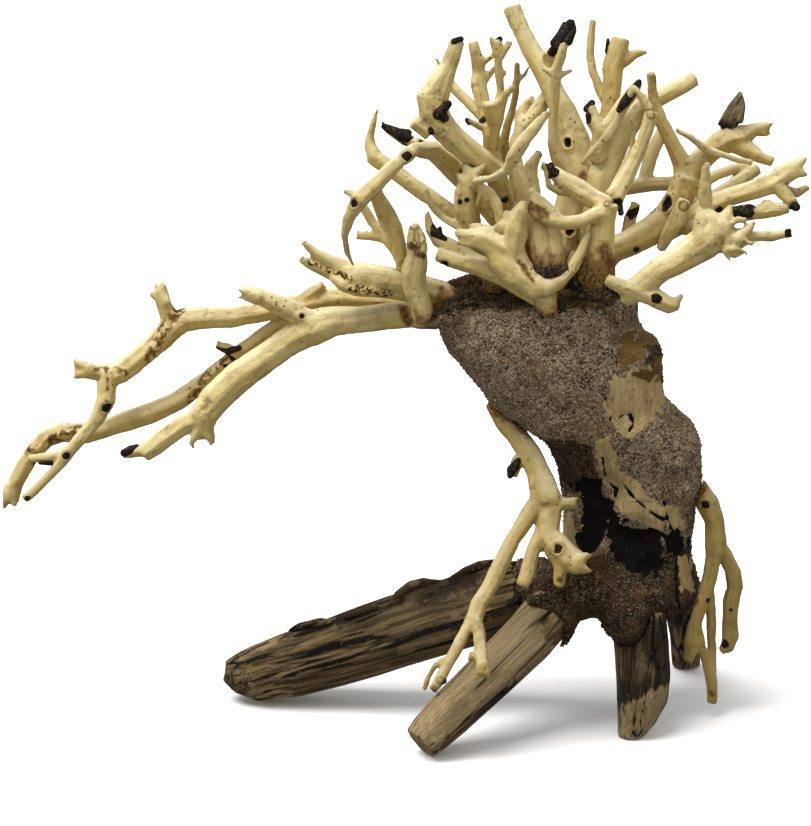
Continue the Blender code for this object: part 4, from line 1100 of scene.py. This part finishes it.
class RootLogs(bpy.types.Operator):
    """Gives the four root logs an even skin, and paints them"""

    bl_idname = "driftwood.root_logs"
    bl_label = "Root logs"

    def execute(self, context):
        for name, node, dark, rugged in ROOT_LOGS:
            wood = fused_copy(name, (node,), context.scene.driftwood.log_cell, 0.0)
            skin = Skin(wood)
            skin.even_out(rounds=30, keep=0.8)
            run = longest_way(skin.points)
            length = skin.points @ run
            across = skin.points - length[:, None] * run
            wander = skin.noise(26, 2, 60)
            grain = (across / (1.1 * MM)) + (length / (26 * MM))[:, None] * run
            grain = grain + wander[:, None] * 0.7
            broad = layered_noise(grain / 3.2, 3, 31)
            fine = layered_noise(grain * 1.1, 2, 37)
            cracks = ramp(np.abs(layered_noise(grain / 3.4, 2, 43)), 0.12, 0.0)
            cracks *= ramp(value_noise(skin.points / (11 * MM), 45), -0.4, 0.2)
            cracks *= 0.3 if node == "root_front" else 1.0
            chunks = across / (3.6 * MM) + (length / (13 * MM))[:, None] * run
            chunks = np.floor(chunks + broad[:, None] * 0.35).astype(np.int64)
            plates = skin.blurred(hashed(chunks, 51), 1) - 0.5
            lump = skin.noise(10, 3, 47)
            height = broad * 0.8 + fine * 0.3 + plates * 3.4 + lump * 1.0 - cracks * 1.5 - 0.4
            height = height * rugged
            off_floor = ramp(skin.points[:, 2], 0.3 * MM, 2.5 * MM)
            # The paint is laid out over these raised points, while the log keeps its even skin
            skin.push(height * MM * off_floor)
            skin.points[:, 2] = np.maximum(skin.points[:, 2], 0.0)
            patches = skin.noise(14, 3, 53)
            right, down = to_sight(skin.points)
            wobble = skin.noise(2.0, 3, 55) * 4
            tone = dark + patches * (0.22 if node == "root_left" else 0.5)
            for kind, log, outline in LOG_REGIONS:
                if log == node:
                    inside = ramp(depth_inside(right, down, outline) + wobble, -1.5, 2.5)
                    strength = 0.5 if node == "root_left" else 1.1
                    tone += inside * strength * (1 if kind == "dark" else -1.6)
            skin.paint(
                # relief drives a painted highlight on the ridges and painted shade in the cracks
                grain=grain, relief=np.clip(broad * 0.5 + fine * 0.4 - cracks * 1.3, -1, 1),
                dark=np.clip(tone, 0, 1) * 0.9, pale=np.clip(-tone * 1.1, 0, 1),
            )
            finish_piece(wood, log_wood, (node,))
        return {"FINISHED"}


class Trunk(bpy.types.Operator):
    """Roughens the trunk, and paints its charred and bare patches and its painted shade"""

    bl_idname = "driftwood.trunk"
    bl_label = "Trunk"

    def execute(self, context):
        trunk = fused_copy("crust", ("trunk",), context.scene.driftwood.trunk_cell, 0.0)
        skin = Skin(trunk)
        skin.even_out(rounds=24, keep=0.6)
        normals = skin.normals()
        right, down = to_sight(skin.points)
        faces_eye = ramp(normals @ np.array(TOWARD_EYE), -0.2, 0.05)
        wobble = skin.noise(3.0, 3, 71) * 5
        painted = {kind: np.zeros(skin.count) for kind in ("char", "tan", "amber", "strip", "dim")}
        for kind, outline in REGIONS:
            if kind == "crack":
                # Cracks take the black of the char, as painted shade in their grooves
                kind = "char"
                inside = 1 - ramp(distance_to_line(right, down, outline) + wobble * 0.3, 0.2, 1.6)
            else:
                inside = ramp(depth_inside(right, down, outline) + wobble, -1.5, 2.5)
            painted[kind] = np.maximum(painted[kind], inside * faces_eye)
        far_side = ramp(normals[:, 1], 0.1, 0.4)
        patches = skin.noise(17, 3, 77)
        painted["char"] = np.maximum(painted["char"], ramp(patches, 0.68, 0.8) * far_side)
        painted["tan"] = np.maximum(painted["tan"], ramp(-patches, 0.62, 0.72) * far_side)
        bare = np.clip(painted["tan"] + painted["amber"] + painted["strip"], 0, 1)
        painted["tan"] = np.maximum(painted["tan"], painted["strip"])
        mottled = skin.noise(4.5, 3, 79)
        painted["amber"] *= ramp(mottled, -0.45, 0.1)
        grain = 0.55 - cell_noise(skin.points / (1.25 * MM), 81)
        lumps = skin.noise(4.5, 3, 83)
        char_lumps = skin.noise(2.6, 3, 85)
        height = grain * 0.26 + lumps * 0.30
        bare_streaks = layered_noise(skin.points / MM * np.array((1.0, 1.0, 0.12)), 3, 87)
        height = height * (1 - bare) + bare * (0.15 + 0.16 * bare_streaks + 0.2 * lumps)
        height = height * (1 - painted["char"]) + painted["char"] * (char_lumps * 0.6 - 0.7)
        skin.push(height * MM, normals)
        # Darker towards the bottom of the trunk, joined with the painted shade of the regions
        low_down = 1 - ramp(skin.points[:, 2] + wobble * 0.6 * MM, 42 * MM, 84 * MM)
        skin.paint(
            # Painted shade in the hollows of the crust
            deep=ramp(skin.hollowness(12), 0.15, 0.5) * 0.6,
            dim=np.clip(np.maximum(low_down, painted["dim"] * 0.85), 0, 1),
            char=painted["char"], tan=painted["tan"], amber=painted["amber"],
        )
        finish_piece(trunk, crust, ("trunk",))
        return {"FINISHED"}


class Crumbs(bpy.types.Operator):
    """Strews crumbs and fibres over the crust of the trunk"""

    bl_idname = "driftwood.crumbs"
    bl_label = "Crumbs"

    def execute(self, context):
        mesh = bpy.data.objects["crust"].data
        points = read_array(mesh.vertices, "co", 3).astype(float)
        normals = read_array(mesh.vertex_normals, "vector", 3).astype(float)
        char, tan, amber, dim = (
            read_array(mesh.attributes[name].data, "value", 1)[:, 0]
            for name in ("char", "tan", "amber", "dim")
        )
        bare = np.maximum(char * 0.96, np.maximum(tan * 0.98, amber * 0.8))
        random = np.random.default_rng(5)
        shape, faces = ball_shape(1)
        count = context.scene.driftwood.crumbs
        for name, share, fibre_share, middle, longest in (
            ("coarse_crumbs", 1.0, 0.05, -1.35, 0.9), ("fine_crumbs", 1.0, 0.45, -1.7, 0.9),
            ("hairs", 0.07, 1.0, -1.1, 3.0),
        ):
            chosen = random.integers(0, len(points), count * 3)
            chosen = chosen[random.random(len(chosen)) > bare[chosen] * 1.05][:int(count * share)]
            total = len(chosen)
            size = np.exp(random.normal(middle, 0.33, (total, 1))) * random.uniform(0.6, 1.5, (total, 3))
            fibres = random.random(total) < fibre_share
            size[fibres] *= np.array((4.5, 0.36, 0.36))
            size = np.clip(size, 0.06, longest) * MM
            turns = np.linalg.qr(random.normal(size=(total, 3, 3)))[0]
            knobs = shape[None] * random.uniform(0.7, 1.3, (total, len(shape), 1))
            placed = np.einsum("nij,nkj->nki", turns, knobs * size[:, None, :])
            centres = points[chosen] + normals[chosen] * (size.min(axis=1) * 0.4)[:, None]
            index = faces[None] + (np.arange(total) * len(shape))[:, None, None]
            crumbs = mesh_object(name, placed + centres[:, None, :], index)
            cloud = layered_noise(points[chosen] / (7 * MM), 3, 89)
            shade = np.clip(random.beta(3.2, 3.4, total) + cloud * 0.16, 0, 1)
            shade[fibres] = random.uniform(0.5, 0.95, fibres.sum())
            # Crumbs in painted shade, and low on the trunk, are darker
            shade *= 1 - 0.85 * dim[chosen]
            paint_mesh(crumbs.data, shade=np.repeat(shade, len(shape)))
            finish_piece(crumbs, crumb)
            crumbs.data.shade_flat()
        return {"FINISHED"}


class BarkBits(bpy.types.Operator):
    """Sets bits of black bark on the branches"""

    bl_idname = "driftwood.bark_bits"
    bl_label = "Bits of bark"

    def execute(self, context):
        balls, index = rows_of_balls([(nearest_seen(line), 0.6, line) for line in BARK_BITS])
        bits = mesh_object("bark_bits", balls, index)
        skin_over(bits, BIT_CELL)
        skin = Skin(bits)
        skin.even_out(rounds=3, keep=0.5)
        skin.paint(grain=skin.points / MM * 0.7)
        skin.write()
        finish_piece(bits, bark)
        return {"FINISHED"}


class Drooping(bpy.types.Operator):
    """Carves the branches that hang at the front and on the right"""

    bl_idname = "driftwood.drooping"
    bl_label = "Drooping branches"

    def execute(self, context):
        dress_peeled(DROOPING)
        return {"FINISHED"}


class Arms(bpy.types.Operator):
    """Carves the long arms on the left"""

    bl_idname = "driftwood.arms"
    bl_label = "Arms"

    def execute(self, context):
        dress_peeled(ARMS)
        return {"FINISHED"}


class Crown(bpy.types.Operator):
    """Carves the branches of the crown"""

    bl_idname = "driftwood.crown"
    bl_label = "Crown"

    def execute(self, context):
        dress_peeled(CROWN)
        return {"FINISHED"}


class BarkChips(bpy.types.Operator):
    """Gives the chips of bark an even skin, and paints their grain"""

    bl_idname = "driftwood.bark_chips"
    bl_label = "Bark chips"

    def execute(self, context):
        for name, node in BARK_CHIPS:
            chip = fused_copy(name, (node,), CHIP_CELL, 0.0)
            skin = Skin(chip)
            skin.even_out(rounds=10, keep=0.8)
            along = skin.points / MM
            run = longest_way(skin.points)
            grain = along / 1.3 - (along @ run)[:, None] * run * 0.7
            low = along @ run * math.copysign(1.0, run[2])
            low = (low - low.min()) / (low.max() - low.min())
            rough = layered_noise(along / 2.0, 2, 93) * 0.15
            skin.paint(grain=grain, brown=ramp(low + rough, 0.15, 0.35) * (name == "bark_right"))
            skin.write()
            finish_piece(chip, bark, (node,))
        return {"FINISHED"}


class Stage(bpy.types.Operator):
    """Sets the floor, the lights and the camera"""

    bl_idname = "driftwood.stage"
    bl_label = "Stage"

    def execute(self, context):
        bpy.ops.object.select_all(action="DESELECT")
        bpy.ops.mesh.primitive_plane_add(size=30.0, location=(0.0, 0.0, -FLOOR_DROP))
        floor = bpy.context.object
        floor.name = "floor"
        bpy.ops.object.transform_apply(location=True, rotation=True, scale=True)
        paper = Paint("floor_paper")
        mottle = paper.noise(paper.place(), 3.0, 2.0)
        paper.base = paper.mix(mottle, (0.93, 0.93, 0.93), (0.95, 0.95, 0.95))
        paper.finish(0.9, 0.1)
        floor.data.materials.append(paper.material)
        floor.visible_diffuse = False
        floor.visible_glossy = False

        world = bpy.data.worlds.new("studio")
        world.use_nodes = True
        tree = world.node_tree
        direction = new_node(tree, "ShaderNodeTexCoord").outputs["Generated"]
        height = new_node(tree, "ShaderNodeSeparateXYZ", {0: direction}).outputs["Z"]
        glow = new_node(tree, "ShaderNodeMapRange", {
            "Value": height, "From Min": -0.6, "From Max": 0.9, "To Min": 0.33, "To Max": 0.90,
        }).outputs[0]
        tree.links.new(glow, tree.nodes["Background"].inputs["Strength"])
        tree.nodes["Background"].inputs["Color"].default_value = (1.0, 0.99, 0.97, 1.0)
        context.scene.world = world
        bpy.ops.object.light_add(type="SUN", location=(-0.4, -0.2, 1.0))
        sun = bpy.context.object
        sun.name = "softbox"
        sun.data.energy = 3.6
        sun.data.angle = math.radians(38.0)
        sun.rotation_euler = Vector((0.42, 0.10, -1.0)).to_track_quat("-Z", "Y").to_euler()

        bpy.ops.object.camera_add()
        camera = bpy.context.object
        axes = Matrix((RIGHT, UPWARD, TOWARD_EYE)).transposed().to_4x4()
        camera.matrix_world = Matrix.Translation(EYE) @ axes
        camera.data.sensor_width = 36.0
        camera.data.lens = 36.0 * EYE_DISTANCE / (PICTURE_HEIGHT * PIXEL)
        camera.data.clip_start = 0.05
        context.scene.camera = camera
        context.scene.view_settings.view_transform = "Standard"
        return {"FINISHED"}


class DriftwoodPanel(bpy.types.Panel):
    """Lists the steps that dress the driftwood"""

    bl_idname = "VIEW3D_PT_driftwood"
    bl_label = "Driftwood"
    bl_space_type = "VIEW_3D"
    bl_region_type = "UI"
    bl_category = "Driftwood"

    def draw(self, context):
        look = context.scene.driftwood
        for name in look.bl_rna.properties.keys():
            if name not in ("rna_type", "name"):
                self.layout.prop(look, name)
        for step in STEPS:
            self.layout.operator(step.bl_idname)


STEPS = (RootLogs, Trunk, Crumbs, Drooping, Arms, Crown, BarkChips, BarkBits, Stage)
CLASSES = (DriftwoodLook, *STEPS, DriftwoodPanel)


def register():
    for cls in CLASSES:
        bpy.utils.register_class(cls)
    bpy.types.Scene.driftwood = bpy.props.PointerProperty(type=DriftwoodLook)


def unregister():
    del bpy.types.Scene.driftwood
    for cls in reversed(CLASSES):
        bpy.utils.unregister_class(cls)


def main():
    register()
    bpy.ops.driftwood.root_logs()
    bpy.ops.driftwood.trunk()
    bpy.ops.driftwood.crumbs()
    bpy.ops.driftwood.drooping()
    bpy.ops.driftwood.arms()
    bpy.ops.driftwood.crown()
    bpy.ops.driftwood.bark_chips()
    bpy.ops.driftwood.bark_bits()
    bpy.ops.driftwood.stage()


if __name__ == "__main__":
    main()
